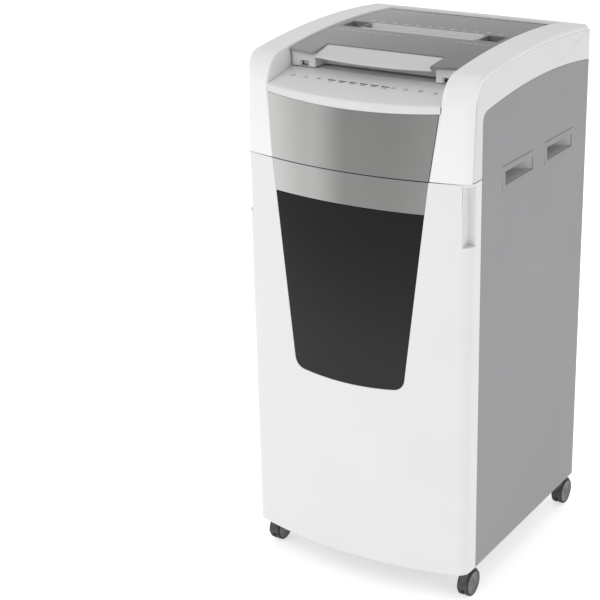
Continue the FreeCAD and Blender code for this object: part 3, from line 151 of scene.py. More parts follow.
def mesh_of(name, points, faces, outward=True):
    """Mesh from points and faces, with doubles merged and, for closed forms, normals turned outward."""
    mesh = bpy.data.meshes.new(name)
    mesh.from_pydata([tuple(p) for p in points], [], faces)
    form = bmesh.new()
    form.from_mesh(mesh)
    bmesh.ops.remove_doubles(form, verts=form.verts, dist=1e-6)
    bmesh.ops.dissolve_degenerate(form, edges=form.edges, dist=1e-6)
    if outward:
        bmesh.ops.recalc_face_normals(form, faces=form.faces)
    form.to_mesh(mesh)
    form.free()
    shade(mesh)
    return mesh


def grid_faces(rows, columns, flipped=False):
    """Faces of a grid of points stored row after row."""
    faces = []
    for r in range(rows - 1):
        for c in range(columns - 1):
            a = r * columns + c
            face = (a, a + 1, a + columns + 1, a + columns)
            faces.append(face[::-1] if flipped else face)
    return faces


def bar_form(name, low, high, section):
    """Straight bar along X with a four-cornered section of (y, z)."""
    return mesh_of(name, [(x, y, z) for x in (low, high) for y, z in section], BLOCK_FACES)


def placed(thing, body, slot, material, *nodes):
    """Give a finished piece its material and its body, and hide the CAD nodes that it stands for. The slot is
    not used.
    """
    thing.data.materials.clear()
    thing.data.materials.append(material)
    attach(thing, body)
    if nodes:
        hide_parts(*nodes)
    return thing


def body_of(node):
    return frame["nodes"][node]["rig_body"]


def slot_of(node):
    return frame["nodes"][node].data.materials[0].name


def rounded_edges(thing, width, segments):
    bevel = thing.modifiers.new("rounded edges", "BEVEL")
    bevel.width = width
    bevel.segments = segments
    bevel.limit_method = "ANGLE"
    bevel.angle_limit = math.radians(30)
    bevel.use_clamp_overlap = False
    bevel.miter_outer = "MITER_ARC"
    weight = thing.modifiers.new("even shading", "WEIGHTED_NORMAL")
    weight.keep_sharp = False
    weight.weight = 80


def softened(node, width, material=None, segments=2, join_faces=True):
    """A moulded copy of a CAD node: flat faces joined, edges rounded, shading even."""
    mesh = frame["nodes"][node].data.copy()
    form = bmesh.new()
    form.from_mesh(mesh)
    bmesh.ops.remove_doubles(form, verts=form.verts, dist=1e-6)
    if join_faces:
        bmesh.ops.dissolve_limit(form, angle_limit=math.radians(0.4), verts=form.verts, edges=form.edges)
    form.to_mesh(mesh)
    form.free()
    shade(mesh)
    thing = new_object(node + "_moulded", mesh)
    rounded_edges(thing, width, segments)
    slot = slot_of(node)
    return placed(thing, body_of(node), slot, material or FINISHES[slot], node)


def joined(name, meshes):
    """One mesh from several."""
    form = bmesh.new()
    for mesh in meshes:
        form.from_mesh(mesh)
    mesh = bpy.data.meshes.new(name)
    form.to_mesh(mesh)
    form.free()
    shade(mesh)
    return mesh


def mirrored(mesh):
    """Copy of a mesh on the other side of the middle plane."""
    form = bmesh.new()
    form.from_mesh(mesh)
    bmesh.ops.scale(form, vec=(-1, 1, 1), verts=form.verts)
    bmesh.ops.reverse_faces(form, faces=form.faces)
    copy = bpy.data.meshes.new(mesh.name + "_mirror")
    form.to_mesh(copy)
    form.free()
    shade(copy)
    return copy


def moved(mesh, place, turn=NO_TURN):
    """The mesh after a turn about its own axes and a move."""
    about_x, about_y, about_z = (Matrix.Rotation(angle, 4, axis) for angle, axis in zip(turn, "XYZ"))
    mesh.transform(Matrix.Translation(place) @ about_z @ about_y @ about_x)
    return mesh


# ---------------------------------------------------------------- finishes

ROUGH_SPREAD = 0.06


def add_node(tree, kind, **values):
    node = tree.nodes.new(kind)
    for key, value in values.items():
        if hasattr(node, key):
            setattr(node, key, value)
        else:
            node.inputs[key.replace("_", " ")].default_value = value
    return node


def part_of(material, kind):
    """The first node of a kind in the material."""
    return next(node for node in material.node_tree.nodes if node.type == kind)


def grade(colour, share):
    """The colour made lighter or darker by a share."""
    return tuple(min(1.0, c * (1.0 + share)) for c in colour) + (1.0,)


def finish(name, colour, rough, spread=0.04, cloud=7.0, grain=900.0, bump=0.05, depth=0.0002,
           stretch=(1.0, 1.0, 1.0), metallic=0.0, coat=0.0, coat_rough=0.1, specular=0.5):
    """Procedural finish: soft clouds of tone, fine grain in the roughness and in the surface."""
    material = bpy.data.materials.new(name)
    material.use_nodes = True
    tree = material.node_tree
    tree.nodes.clear()
    out = add_node(tree, "ShaderNodeOutputMaterial")
    shader = add_node(tree, "ShaderNodeBsdfPrincipled", Metallic=metallic, Coat_Weight=coat,
                      Coat_Roughness=coat_rough, Specular_IOR_Level=specular)
    place = add_node(tree, "ShaderNodeTexCoord")
    mapping = add_node(tree, "ShaderNodeMapping", Scale=stretch)
    clouds = add_node(tree, "ShaderNodeTexNoise", Scale=cloud, Detail=3.0, Roughness=0.5)
    tone = add_node(tree, "ShaderNodeValToRGB")
    tone.color_ramp.elements[0].position = 0.3
    tone.color_ramp.elements[0].color = grade(colour, -spread)
    tone.color_ramp.elements[1].position = 0.7
    tone.color_ramp.elements[1].color = grade(colour, spread)
    fine = add_node(tree, "ShaderNodeTexNoise", Scale=grain, Detail=2.0, Roughness=0.55)
    gloss = add_node(tree, "ShaderNodeMapRange")
    gloss.inputs["To Min"].default_value = max(0.02, rough - ROUGH_SPREAD)
    gloss.inputs["To Max"].default_value = min(1.0, rough + ROUGH_SPREAD)
    relief = add_node(tree, "ShaderNodeBump", Strength=bump, Distance=depth)
    link = tree.links.new
    link(place.outputs["Object"], mapping.inputs["Vector"])
    link(place.outputs["Object"], clouds.inputs["Vector"])
    link(mapping.outputs["Vector"], fine.inputs["Vector"])
    link(clouds.outputs["Fac"], tone.inputs["Fac"])
    link(tone.outputs["Color"], shader.inputs["Base Color"])
    link(fine.outputs["Fac"], gloss.inputs["Value"])
    link(gloss.outputs["Result"], shader.inputs["Roughness"])
    link(fine.outputs["Fac"], relief.inputs["Height"])
    link(relief.outputs["Normal"], shader.inputs["Normal"])
    link(shader.outputs["BSDF"], out.inputs["Surface"])
    return material


def painted_light_ramp(material, stops, axis="X", low=-SIDE_X, high=SIDE_X):
    """Paint light and shade into the base tone along an axis, through stops, each a place from 0 to 1 and a
    colour.
    """
    tree = material.node_tree
    shader = part_of(material, "BSDF_PRINCIPLED")
    old = shader.inputs["Base Color"].links[0].from_socket
    place = part_of(material, "TEX_COORD")
    split = tree.nodes.new("ShaderNodeSeparateXYZ")
    along = tree.nodes.new("ShaderNodeMapRange")
    along.inputs["From Min"].default_value = low
    along.inputs["From Max"].default_value = high
    ramp = tree.nodes.new("ShaderNodeValToRGB")
    ramp.color_ramp.interpolation = "EASE"
    while len(ramp.color_ramp.elements) < len(stops):
        ramp.color_ramp.elements.new(0.5)
    for element, (position, colour) in zip(ramp.color_ramp.elements, stops):
        element.position = position
        element.color = colour + (1.0,)
    blend = tree.nodes.new("ShaderNodeMix")
    blend.data_type = "RGBA"
    blend.blend_type = "MULTIPLY"
    blend.inputs["Factor"].default_value = 1.0
    tree.links.new(place.outputs["Object"], split.inputs["Vector"])
    tree.links.new(split.outputs[axis], along.inputs["Value"])
    tree.links.new(along.outputs["Result"], ramp.inputs["Fac"])
    tree.links.new(old, blend.inputs["A"])
    tree.links.new(ramp.outputs["Color"], blend.inputs["B"])
    tree.links.new(blend.outputs["Result"], shader.inputs["Base Color"])
    return material


def grey(value):
    return (value, value, value)


def circuit_finish():
    """Green board with a copper pattern under the lacquer."""
    material = finish("circuit_lacquer", (0.02, 0.16, 0.05), 0.35, 0.15, 20.0, 400.0, 0.05, coat=0.4)
    tree = material.node_tree
    shader = part_of(material, "BSDF_PRINCIPLED")
    old = shader.inputs["Base Color"].links[0].from_socket
    place = part_of(material, "TEX_COORD")
    tracks = add_node(tree, "ShaderNodeTexBrick", Scale=60.0, Mortar_Size=0.02)
    tracks.inputs["Color1"].default_value = (0.0, 0.0, 0.0, 1.0)
    tracks.inputs["Color2"].default_value = (0.0, 0.0, 0.0, 1.0)
    tracks.inputs["Mortar"].default_value = (1.0, 1.0, 1.0, 1.0)
    blend = tree.nodes.new("ShaderNodeMix")
    blend.data_type = "RGBA"
    blend.inputs["B"].default_value = (0.05, 0.30, 0.09, 1.0)
    tree.links.new(place.outputs["Object"], tracks.inputs["Vector"])
    tree.links.new(tracks.outputs["Color"], blend.inputs["Factor"])
    tree.links.new(old, blend.inputs["A"])
    tree.links.new(blend.outputs["Result"], shader.inputs["Base Color"])
    return material


FINISHES = {}


def make_finishes(settings):
    """One finish for each material slot of the frame, and a few more for small details."""
    brushed = finish("brushed_silver", tuple(settings.silver), 0.34, 0.03, 5.0, 260.0, 0.06,
                     stretch=(0.5, 0.5, 14.0), metallic=0.55, coat=0.15)
    # Painted reflection on the silver panel: bright at the left, dark in the middle, a little lighter at the
    # right.
    painted_reflection_tones = [(0.12, grey(1.10)), (0.34, grey(0.78)), (0.52, grey(0.41)), (0.68, grey(0.40)),
             (0.92, grey(0.50))]
    FINISHES.update({
        "white_shell": finish("gloss_white_plastic", tuple(settings.white), 0.30, 0.012, 5.0, 1400.0, 0.03,
                              coat=0.25, coat_rough=0.12),
        "rail_white": finish("gloss_white_rail", grey(0.82), 0.28, 0.01, 5.0, 1400.0, 0.03, coat=0.25,
                             coat_rough=0.12),
        "light_shell": finish("pale_grey_plastic", tuple(settings.pale), 0.42, 0.015, 6.0, 1500.0, 0.06),
        "grey_panel": finish("grained_grey_panel", tuple(settings.panel), 0.55, 0.03, 4.0, 1100.0, 0.28,
                             depth=0.0003),
        "silver_panel": painted_light_ramp(brushed, painted_reflection_tones),
        # Painted light and shade on the smoked window: lighter towards the bottom, darker towards the top.
        "smoked_window": painted_light_ramp(finish("smoked_window", grey(0.019), 0.20, 0.05, 3.0, 500.0, 0.01, coat=0.04,
                                       coat_rough=0.06, specular=0.09),
                                [(0.0, grey(1.5)), (1.0, grey(0.55))], "Z", 0.45, 0.82),
        # Painted light on the lid: lighter at the left, darker towards the right.
        "lid_smoke": painted_light_ramp(finish("satin_smoke_lid", tuple(settings.lid), 0.33, 0.03, 4.0, 1300.0, 0.05,
                                   coat=0.3, coat_rough=0.18),
                            [(0.15, grey(1.12)), (0.5, grey(0.80)), (0.85, grey(0.62))]),
        "handle_shell": finish("pearl_handle_plastic", grey(0.62), 0.36, 0.02, 8.0, 1500.0, 0.05),
        "bin_plastic": finish("bin_plastic", grey(0.055), 0.50, 0.10, 6.0, 900.0, 0.20),
        "frame_steel": finish("galvanised_steel", (0.52, 0.53, 0.55), 0.38, 0.14, 40.0, 220.0, 0.05,
                              metallic=0.9),
        "black_plastic": finish("black_moulding", grey(0.020), 0.45, 0.15, 9.0, 1000.0, 0.15),
        "cutter_steel": finish("ground_cutter_steel", (0.42, 0.43, 0.45), 0.25, 0.10, 30.0, 500.0, 0.06,
                               stretch=(20.0, 1.0, 1.0), metallic=1.0),
        "shaft_steel": finish("turned_steel", (0.56, 0.57, 0.58), 0.26, 0.06, 25.0, 600.0, 0.05,
                              stretch=(12.0, 1.0, 1.0), metallic=1.0),
        "gear_plastic": finish("acetal_gear", (0.78, 0.76, 0.70), 0.42, 0.04, 12.0, 700.0, 0.05),
        "bronze": finish("sintered_bronze", (0.50, 0.31, 0.14), 0.42, 0.16, 60.0, 1600.0, 0.15, metallic=0.9),
        "roller_rubber": finish("feed_rubber", grey(0.06), 0.75, 0.15, 14.0, 1200.0, 0.30),
        "castor_plastic": finish("castor_hood_plastic", grey(0.045), 0.38, 0.12, 15.0, 1200.0, 0.10),
        "castor_tread": finish("castor_tread_rubber", grey(0.018), 0.60, 0.20, 15.0, 1000.0, 0.25),
        "board_green": circuit_finish(),
        "motor_case": finish("motor_paint", grey(0.09), 0.45, 0.10, 12.0, 500.0, 0.12, metallic=0.4),
        "screw_steel": finish("zinc_screw", (0.45, 0.46, 0.48), 0.30, 0.12, 60.0, 900.0, 0.06, metallic=1.0),
        "wheel_disc": finish("castor_disc_plastic", grey(0.12), 0.36, 0.08, 20.0, 1200.0, 0.08),
        "printed_mark": finish("pale_print", grey(0.80), 0.45, 0.03, 9.0, 1200.0, 0.04),
        "key_mark": finish("key_print", grey(0.16), 0.50, 0.05, 9.0, 1200.0, 0.04),
        "bar_mark": finish("bar_print", grey(0.07), 0.45, 0.05, 9.0, 1200.0, 0.04),
        # Painted shadow: dark strips along the step at the edges of the sunk grip fields.
        "painted_step_shadow": finish("painted_step_shadow", grey(0.13), 0.60, 0.05, 6.0, 1100.0, 0.10),
        "grip_liner": finish("grip_liner_plastic", grey(0.40), 0.58, 0.05, 6.0, 1100.0, 0.22),
        # Painted shade at both ends of the feed mouth, over the end pockets; light in the middle.
        "throat_liner": painted_light_ramp(finish("feed_mouth_plastic", grey(0.54), 0.40, 0.03, 6.0, 1300.0, 0.05),
                               [(0.0, grey(0.42)), (0.13, grey(0.42)), (0.16, grey(1.0)), (0.84, grey(1.0)),
                                (0.87, grey(0.36))], "X", MOUTH[0].x, MOUTH[1].x),
    })


# ---------------------------------------------------------------- repeated things

def row_tree():
    """Geometry nodes: copies of one small form in a row, each turned a little more than the last."""
    tree = bpy.data.node_groups.new("row_of_copies", "GeometryNodeTree")
    for label, kind in (("Copy", "Object"), ("Count", "Int"), ("Start", "Vector"), ("Step", "Vector"),
                        ("Turn", "Vector"), ("Material", "Material")):
        tree.interface.new_socket(label, in_out="INPUT", socket_type="NodeSocket" + kind)
    tree.interface.new_socket("Geometry", in_out="OUTPUT", socket_type="NodeSocketGeometry")
    make, link = tree.nodes.new, tree.links.new
    given, result = make("NodeGroupInput"), make("NodeGroupOutput")
    line, form = make("GeometryNodeMeshLine"), make("GeometryNodeObjectInfo")
    index, turn = make("GeometryNodeInputIndex"), make("ShaderNodeVectorMath")
    copies, real = make("GeometryNodeInstanceOnPoints"), make("GeometryNodeRealizeInstances")
    paint = make("GeometryNodeSetMaterial")
    turn.operation = "SCALE"
    link(given.outputs["Count"], line.inputs["Count"])
    link(given.outputs["Start"], line.inputs["Start Location"])
    link(given.outputs["Step"], line.inputs["Offset"])
    link(given.outputs["Copy"], form.inputs["Object"])
    link(given.outputs["Turn"], turn.inputs[0])
    link(index.outputs["Index"], turn.inputs["Scale"])
    link(line.outputs["Mesh"], copies.inputs["Points"])
    link(form.outputs["Geometry"], copies.inputs["Instance"])
    link(turn.outputs["Vector"], copies.inputs["Rotation"])
    link(copies.outputs["Instances"], real.inputs["Geometry"])
    link(real.outputs["Geometry"], paint.inputs["Geometry"])
    link(given.outputs["Material"], paint.inputs["Material"])
    link(paint.outputs["Geometry"], result.inputs["Geometry"])
    return tree


def repeated(name, pattern, rows, material):
    """One plain mesh with rows of copies of a pattern. A row is a count, a start, a step and a turn."""
    tree = bpy.data.node_groups.get("row_of_copies") or row_tree()
    sockets = {item.name: item.identifier for item in tree.interface.items_tree if item.in_out == "INPUT"}
    form = new_object(name + "_form", pattern)
    meshes = []
    for count, start, step, turn in rows:
        holder = new_object(name + "_row", bpy.data.meshes.new(name))
        row = holder.modifiers.new("row", "NODES")
        row.node_group = tree
        row[sockets["Copy"]] = form
        row[sockets["Count"]] = count
        row[sockets["Start"]] = start
        row[sockets["Step"]] = step
        row[sockets["Turn"]] = turn
        row[sockets["Material"]] = material
        seen = holder.evaluated_get(bpy.context.evaluated_depsgraph_get())
        meshes.append(bpy.data.meshes.new_from_object(seen))
        holder.modifiers.remove(row)
        bpy.data.objects.remove(holder)
    bpy.data.objects.remove(form)
    return new_object(name, joined(name, meshes))


# ---------------------------------------------------------------- flat signs

def plate_mesh(name, outlines):
    """Printed forms with hardly any height, each outline a closed list of (x, y)."""
    points, faces = [], []
    for outline in outlines:
        start, count = len(points), len(outline)
        points += [(x, y, z) for z in (0.0, PRINT_H) for x, y in outline]
        faces.append(tuple(range(start + count - 1, start - 1, -1)))
        faces.append(tuple(range(start + count, start + 2 * count)))
        for k in range(count):
            after = (k + 1) % count
            faces.append((start + k, start + after, start + count + after, start + count + k))
    return mesh_of(name, points, faces)


def bar(x, y, width, height):
    return [(x - width / 2, y - height / 2), (x + width / 2, y - height / 2),
            (x + width / 2, y + height / 2), (x - width / 2, y + height / 2)]


def arc_band(radius, width, start, stop, steps=14):
    """Part of a ring as one closed outline, angles in degrees."""
    turns = [math.radians(start + (stop - start) * k / steps) for k in range(steps + 1)]
    outer = [(radius * math.cos(t), radius * math.sin(t)) for t in turns]
    inner = [((radius - width) * math.cos(t), (radius - width) * math.sin(t)) for t in reversed(turns)]
    return outer + inner


def frame_band(width, height, line):
    """The four sides of a rectangle."""
    return [bar(0, height / 2, width, line), bar(0, -height / 2, width, line),
            bar(-width / 2, 0, line, height), bar(width / 2, 0, line, height)]


def sign(kind, size=0.007):
    """Outlines of one generic sign of a given size."""
    mm = size / 7
    if kind == "power":
        return [arc_band(3.2 * mm, 0.7 * mm, 120, 420), bar(0, 2.4 * mm, 0.7 * mm, 3.2 * mm)]
    if kind == "reverse":
        return [arc_band(3.0 * mm, 0.7 * mm, -20, 240),
                [(2.0 * mm, -1.0 * mm), (4.0 * mm, -1.0 * mm), (3.0 * mm, -3.0 * mm)]]
    if kind == "forward":
        return [[(-2.6 * mm, -2.4 * mm), (0.2 * mm, 0), (-2.6 * mm, 2.4 * mm)],
                [(0.2 * mm, -2.4 * mm), (3.0 * mm, 0), (0.2 * mm, 2.4 * mm)]]
    if kind == "bin":
        return frame_band(4.2 * mm, 4.6 * mm, 0.6 * mm) + [bar(0, 3.6 * mm, 5.6 * mm, 0.6 * mm)]
    if kind == "door":
        return frame_band(4.2 * mm, 5.6 * mm, 0.6 * mm) + [bar(1.0 * mm, 0, 0.8 * mm, 1.2 * mm)]
    if kind == "jam":
        return [bar(-1.8 * mm, 0, 0.6 * mm, 5.6 * mm), bar(0, 0, 0.6 * mm, 3.6 * mm),
                bar(1.8 * mm, 0, 0.6 * mm, 5.6 * mm)]
    return [arc_band(2.9 * mm, 0.7 * mm, 0, 359), bar(0, 0, 2.4 * mm, 0.7 * mm)]


# ---------------------------------------------------------------- outer form

def bow(x):
    """How far the bowed front lies behind its foremost point."""
    return BOW_R - math.sqrt(BOW_R ** 2 - x ** 2)


def leaning_front(x, z):
    """Place of the bowed front of the head, which leans back."""
    return FRONT_Y + bow(x) + LEAN * (z - HEAD_Z)


def taper_half(z):
    return TAPER_HALF + TAPER_SLOPE * (z - HEAD_Z)


def lid_z(y):
    """Height of the lid's arched surface."""
    radius = CREST_R - LID_DROP
    return TOP_Z - LID_DROP - radius + math.sqrt(radius ** 2 - (y - CREST_Y) ** 2)


def side_path(front, top, radius, corner, back_corner):
    """Stations up the leaning leg, over the arch and down the back: point, outward normal, front's share."""
    slope = Vector((LEAN, 1.0)).normalized()
    out = Vector((-slope.y, slope.x))
    centre = Vector((CREST_Y, top - radius))
    base = Vector((front, HEAD_Z))
    start = base - out * corner - centre
    ahead = start.dot(slope)
    along = -ahead + math.sqrt(ahead ** 2 - start.length_squared + (radius - corner) ** 2)
    hub = base + slope * along - out * corner
    rise = (SHELF_TOP_Z - HEAD_Z) / slope.y
    stations = [(base + slope * t, out, 1.0) for t in (0.0, rise - 0.001, rise + 0.001, 0.5 * (rise + along))]
    first, last = math.atan2(out.y, out.x), math.atan2(*reversed(hub - centre))
    for k in range(19):
        share = k / 18
        angle = first + (last - first) * share
        normal = Vector((math.cos(angle), math.sin(angle)))
        stations.append((hub + normal * corner, normal, 1.0 - share * share * (3 - 2 * share)))
    if back_corner:
        rear_hub = Vector((BACK_Y - back_corner, 0.0))
        rear_hub.y = centre.y + math.sqrt((radius - back_corner) ** 2 - (rear_hub.x - centre.x) ** 2)
        end = math.atan2(*reversed(rear_hub - centre))
    else:
        end = math.acos((BACK_Y - centre.x) / radius)
    for k in range(1, 27):
        angle = last + (end - last) * k / 26
        normal = Vector((math.cos(angle), math.sin(angle)))
        stations.append((centre + normal * radius, normal, 0.0))
    if back_corner:
        for k in range(1, 8):
            angle = end * (1 - k / 7)
            normal = Vector((math.cos(angle), math.sin(angle)))
            stations.append((rear_hub + normal * back_corner, normal, 0.0))
    return stations


def depth_to(outline, point, normal):
    """Distance from a station inward to an outline, or the rail's edge depth behind the outline's end."""
    far = point - normal * 0.12
    for a, b in zip(outline, outline[1:]):
        hit = intersect_line_line_2d(point, far, a, b)
        if hit:
            return (hit - point).length
    return RAIL_EDGE


def rail_section(share, depth, x_in, x_out, shoulder):
    """Section of the rail from its outer seam to its inner edge, as (x, depth below the path)."""
    radius = shoulder + (CORNER_R - shoulder) * share
    tilt = share * math.asin(CORNER_X / (BOW_R - CORNER_R))
    arc_x = x_out - radius

    def sag(x):
        return share * (bow(x) - bow(RAIL_IN))

    touch_x = arc_x + radius * math.sin(tilt)
    hub_depth = sag(touch_x) + radius * math.cos(tilt)
    end = math.acos(max(0.0, min(1.0, (hub_depth - depth) / radius)))
    straight = max(0.0, depth - hub_depth)
    total = radius * (end - tilt) + straight
    section = []
    for k in range(13):
        length = total * (1 - k / 12)
        if length > radius * (end - tilt):
            section.append((x_out, hub_depth + length - radius * (end - tilt)))
        else:
            angle = tilt + length / radius
            section.append((arc_x + radius * math.sin(angle), hub_depth - radius * math.cos(angle)))
    edge = RAIL_INNER_R
    for k in range(1, 9):
        x = touch_x + (x_in + edge - touch_x) * k / 8
        section.append((x, sag(x)))
    foot = section[-1][1] + edge
    for k in range(1, 5):
        angle = math.pi / 2 * k / 4
        section.append((x_in + edge - edge * math.sin(angle), foot - edge * math.cos(angle)))
    return section


def rail_mesh():
    """The right rail: front leg, arch and rear end in one swept shell."""
    front = FRONT_Y + bow(RAIL_IN)
    band = [s[0] for s in side_path(FRONT_Y + BAND_SETBACK, TOP_Z - RAIL_EDGE, CREST_R - RAIL_EDGE,
                                    BAND_FRONT_R, 0.0)]
    band.insert(0, 2 * band[0] - band[1])
    stations = side_path(front, TOP_Z, CREST_R, RAIL_FRONT_R, RAIL_BACK_R)
    rear_x = SIDE_X - WALL - FIT
    profiles = [(p, n, share, SIDE_X, SHOULDER_R, depth_to(band, p, n) - FIT / 2) for p, n, share in stations]
    last, back = stations[-1][0], Vector((1.0, 0.0))
    for z in (last.y - 0.001, SHELF_TOP_Z):
        profiles.append((Vector((last.x, z)), back, 0.0, rear_x, 0.001, WALL))
    points = []
    for p, n, share, x_out, shoulder, depth in profiles:
        x_in = min(RAIL_IN, taper_half(p.y)) if p.y < SHELF_TOP_Z else RAIL_IN
        section = rail_section(share, depth, x_in, x_out, shoulder)
        for x, d in section:
            q = p - n * d
            points.append((x, q.x, q.y))
        if p.y > SHELF_TOP_Z + FLANGE_FROM:
            points.append((x_in, p.x, SHELF_TOP_Z))
        else:
            q = p - n * RAIL_TURN_IN
            points.append((x_in, q.x, q.y))
    columns = len(points) // len(profiles)
    return mesh_of("right_rail_skin", points, grid_faces(len(profiles), columns, flipped=True), outward=False)


def thickened(thing, thickness):
    """Give a skin its wall, inward, and soften the rim."""
    wall = thing.modifiers.new("wall", "SOLIDIFY")
    wall.thickness = thickness
    wall.offset = -1.0
    bevel = thing.modifiers.new("rim", "BEVEL")
    bevel.width = RIM_R
    bevel.segments = 2
    bevel.limit_method = "ANGLE"
    bevel.angle_limit = math.radians(50)
    bevel.use_clamp_overlap = True
    return thing


def control_panel_mesh(settings):
    """Sloping top that rolls over into a bowed lip with a curved underside."""
    columns = 49
    edge, turn_in = 0.0008, 0.004
    sag = SHELF_TOP_Z - LIP_MID_Z
    slope = Vector((1.0, PANEL_SLOPE)).normalized()
    lean = Vector((LEAN, 1.0)).normalized()
    back = Vector((PANEL_BACK_Y, PANEL_BACK_Z))
    cut = settings.lip_roll * math.tan(math.acos(slope.dot(lean)) / 2)
    points = []
    for c in range(columns):
        x = -PANEL_HALF + 2 * PANEL_HALF * c / (columns - 1)
        foot_z = SHELF_TOP_Z - sag * (1 - (x / PANEL_HALF) ** 2)
        foot = Vector((leaning_front(x, foot_z), foot_z))
        run = (back.x - leaning_front(x, back.y)) / (slope.x - LEAN * slope.y)
        corner = back - slope * run
        start, stop = corner + slope * cut, corner - lean * cut
        profile = [back - Vector((0.0, turn_in)), back - Vector((0.0, edge)), back - slope * edge]
        profile += [back + (start - back) * k / 6 for k in range(1, 7)]
        for k in range(1, 8):
            t = k / 8
            profile.append(start * (1 - t) ** 2 + corner * 2 * t * (1 - t) + stop * t * t)
        profile += [stop + (foot - stop) * k / 3 for k in range(0, 4)]
        profile.append(foot + Vector((turn_in, 0.0)))
        points += [(x, q.x, q.y) for q in profile]
    return mesh_of("control_panel_skin", points, grid_faces(columns, len(profile)), outward=False)


# ---------------------------------------------------------------- settings

class ShredderSettings(bpy.types.PropertyGroup):
    white: bpy.props.FloatVectorProperty(
        name="White shell", description="Tone of the drawer front and the rear bar", subtype="COLOR", size=3,
        min=0.0, max=1.0, default=(0.745, 0.745, 0.745))
    pale: bpy.props.FloatVectorProperty(
        name="Pale shell", description="Tone of the side bands and the control panel", subtype="COLOR",
        size=3, min=0.0, max=1.0, default=(0.70, 0.70, 0.695))
    panel: bpy.props.FloatVectorProperty(
        name="Side panel", description="Tone of the side and rear panels", subtype="COLOR", size=3,
        min=0.0, max=1.0, default=(0.290, 0.285, 0.296))
    silver: bpy.props.FloatVectorProperty(
        name="Silver panel", description="Tone of the tapered metallic panel", subtype="COLOR", size=3,
        min=0.0, max=1.0, default=(0.50, 0.495, 0.485))
    lid: bpy.props.FloatVectorProperty(
        name="Lid", description="Tone of the arched lid", subtype="COLOR", size=3,
        min=0.0, max=1.0, default=(0.24, 0.24, 0.245))
    edge: bpy.props.FloatProperty(
        name="Edge", description="Rounding of the moulded shells' edges", subtype="DISTANCE", unit="LENGTH",
        default=0.0006, min=0.0001, max=0.002)
    lip_roll: bpy.props.FloatProperty(
        name="Lip roll", description="Radius where the control panel rolls into its lip", unit="LENGTH",
        default=0.0045, min=0.001, max=0.01)


class StageSettings(bpy.types.PropertyGroup):
    eye: bpy.props.FloatVectorProperty(
        name="Eye", description="Place of the camera", subtype="TRANSLATION", unit="LENGTH", size=3,
        default=(1.5256, -2.7605, 1.7773))
    azimuth: bpy.props.FloatProperty(
        name="Azimuth", description="Direction of view about the upright axis", subtype="ANGLE",
        default=math.radians(33.347))
    elevation: bpy.props.FloatProperty(
        name="Elevation", description="Downward tilt of the view", subtype="ANGLE",
        default=math.radians(21.532))
    roll: bpy.props.FloatProperty(
        name="Roll", description="Turn of the camera about its line of sight", subtype="ANGLE",
        default=math.radians(-1.499))
    lens: bpy.props.FloatProperty(
        name="Lens", description="Focal length in millimetres", default=97.8, min=20.0, max=300.0)


# ---------------------------------------------------------------- operators

class SHREDDER_OT_finishes(bpy.types.Operator):
    """Make the finishes, and stop if a material slot of the frame has none"""
    bl_idname = "shredder.finishes"
    bl_label = "Finishes"

    def execute(self, context):
        make_finishes(context.scene.shredder)
        for node in frame["nodes"]:
            if slot_of(node) not in FINISHES:
                raise RuntimeError(f"no finish for the slot {slot_of(node)}")
        return {"FINISHED"}


class SHREDDER_OT_rails(bpy.types.Operator):
    """Sweep the two white rails from the front legs over the top to the back"""
    bl_idname = "shredder.rails"
    bl_label = "Rails"

    def execute(self, context):
        skin = rail_mesh()
        for name, mesh in (("right_rail", skin), ("left_rail", mirrored(skin))):
            rail = thickened(new_object(name + "_shell", mesh), 0.0025)
            placed(rail, "cabinet", "white_shell", FINISHES["rail_white"], name)
        return {"FINISHED"}


class SHREDDER_OT_shells(bpy.types.Operator):
    """Mould the panels of the cabinet, the head and the drawer"""
    bl_idname = "shredder.shells"
    bl_label = "Shells"

    def execute(self, context):
        edge = context.scene.shredder.edge
        for node in ("right_side_panel", "left_side_panel", "side_bands", "rear_bar", "head_front_panel",
                     "drawer_front", "drawer_trim", "window", "drawer_base", "waste_bin", "base_plate"):
            softened(node, edge)
        softened("rear_panel", edge, join_faces=False)
        return {"FINISHED"}


class SHREDDER_OT_control_panel(bpy.types.Operator):
    """Form the control panel with its lip, touch keys and level bars"""
    bl_idname = "shredder.control_panel"
    bl_label = "Control panel"

    def execute(self, context):
        skin = control_panel_mesh(context.scene.shredder)
        panel = thickened(new_object("control_panel_shell", skin), 0.0028)
        placed(panel, "cabinet", "light_shell", FINISHES["light_shell"], "control_panel")
        tilt = math.atan(PANEL_SLOPE)
        ahead = 0.040
        y = PANEL_BACK_Y - ahead
        z = PANEL_BACK_Z - ahead * PANEL_SLOPE + 0.00005
        signs = []
        for kind, x in (("power", -0.157), ("reverse", -0.128), ("forward", -0.098), ("jam", 0.064),
                        ("door", 0.090), ("bin", 0.120), ("stop", 0.152)):
            signs.append(moved(plate_mesh(kind, sign(kind, 0.010)), (x, y, z), (tilt, 0.0, 0.0)))
        placed(new_object("control_panel_keys", joined("keys", signs)), "cabinet", "light_shell",
               FINISHES["key_mark"])
        dash = plate_mesh("level_bar", [bar(0, 0.001, 0.0165, 0.0034), bar(0, -0.0045, 0.0095, 0.0018)])
        moved(dash, (0, 0, 0), (tilt, 0.0, 0.0))
        bars = repeated("level_bars", dash, [(6, (-0.070, y, z), (0.0232, 0, 0), NO_TURN)],
                        FINISHES["bar_mark"])
        placed(bars, "cabinet", "light_shell", FINISHES["bar_mark"])
        return {"FINISHED"}


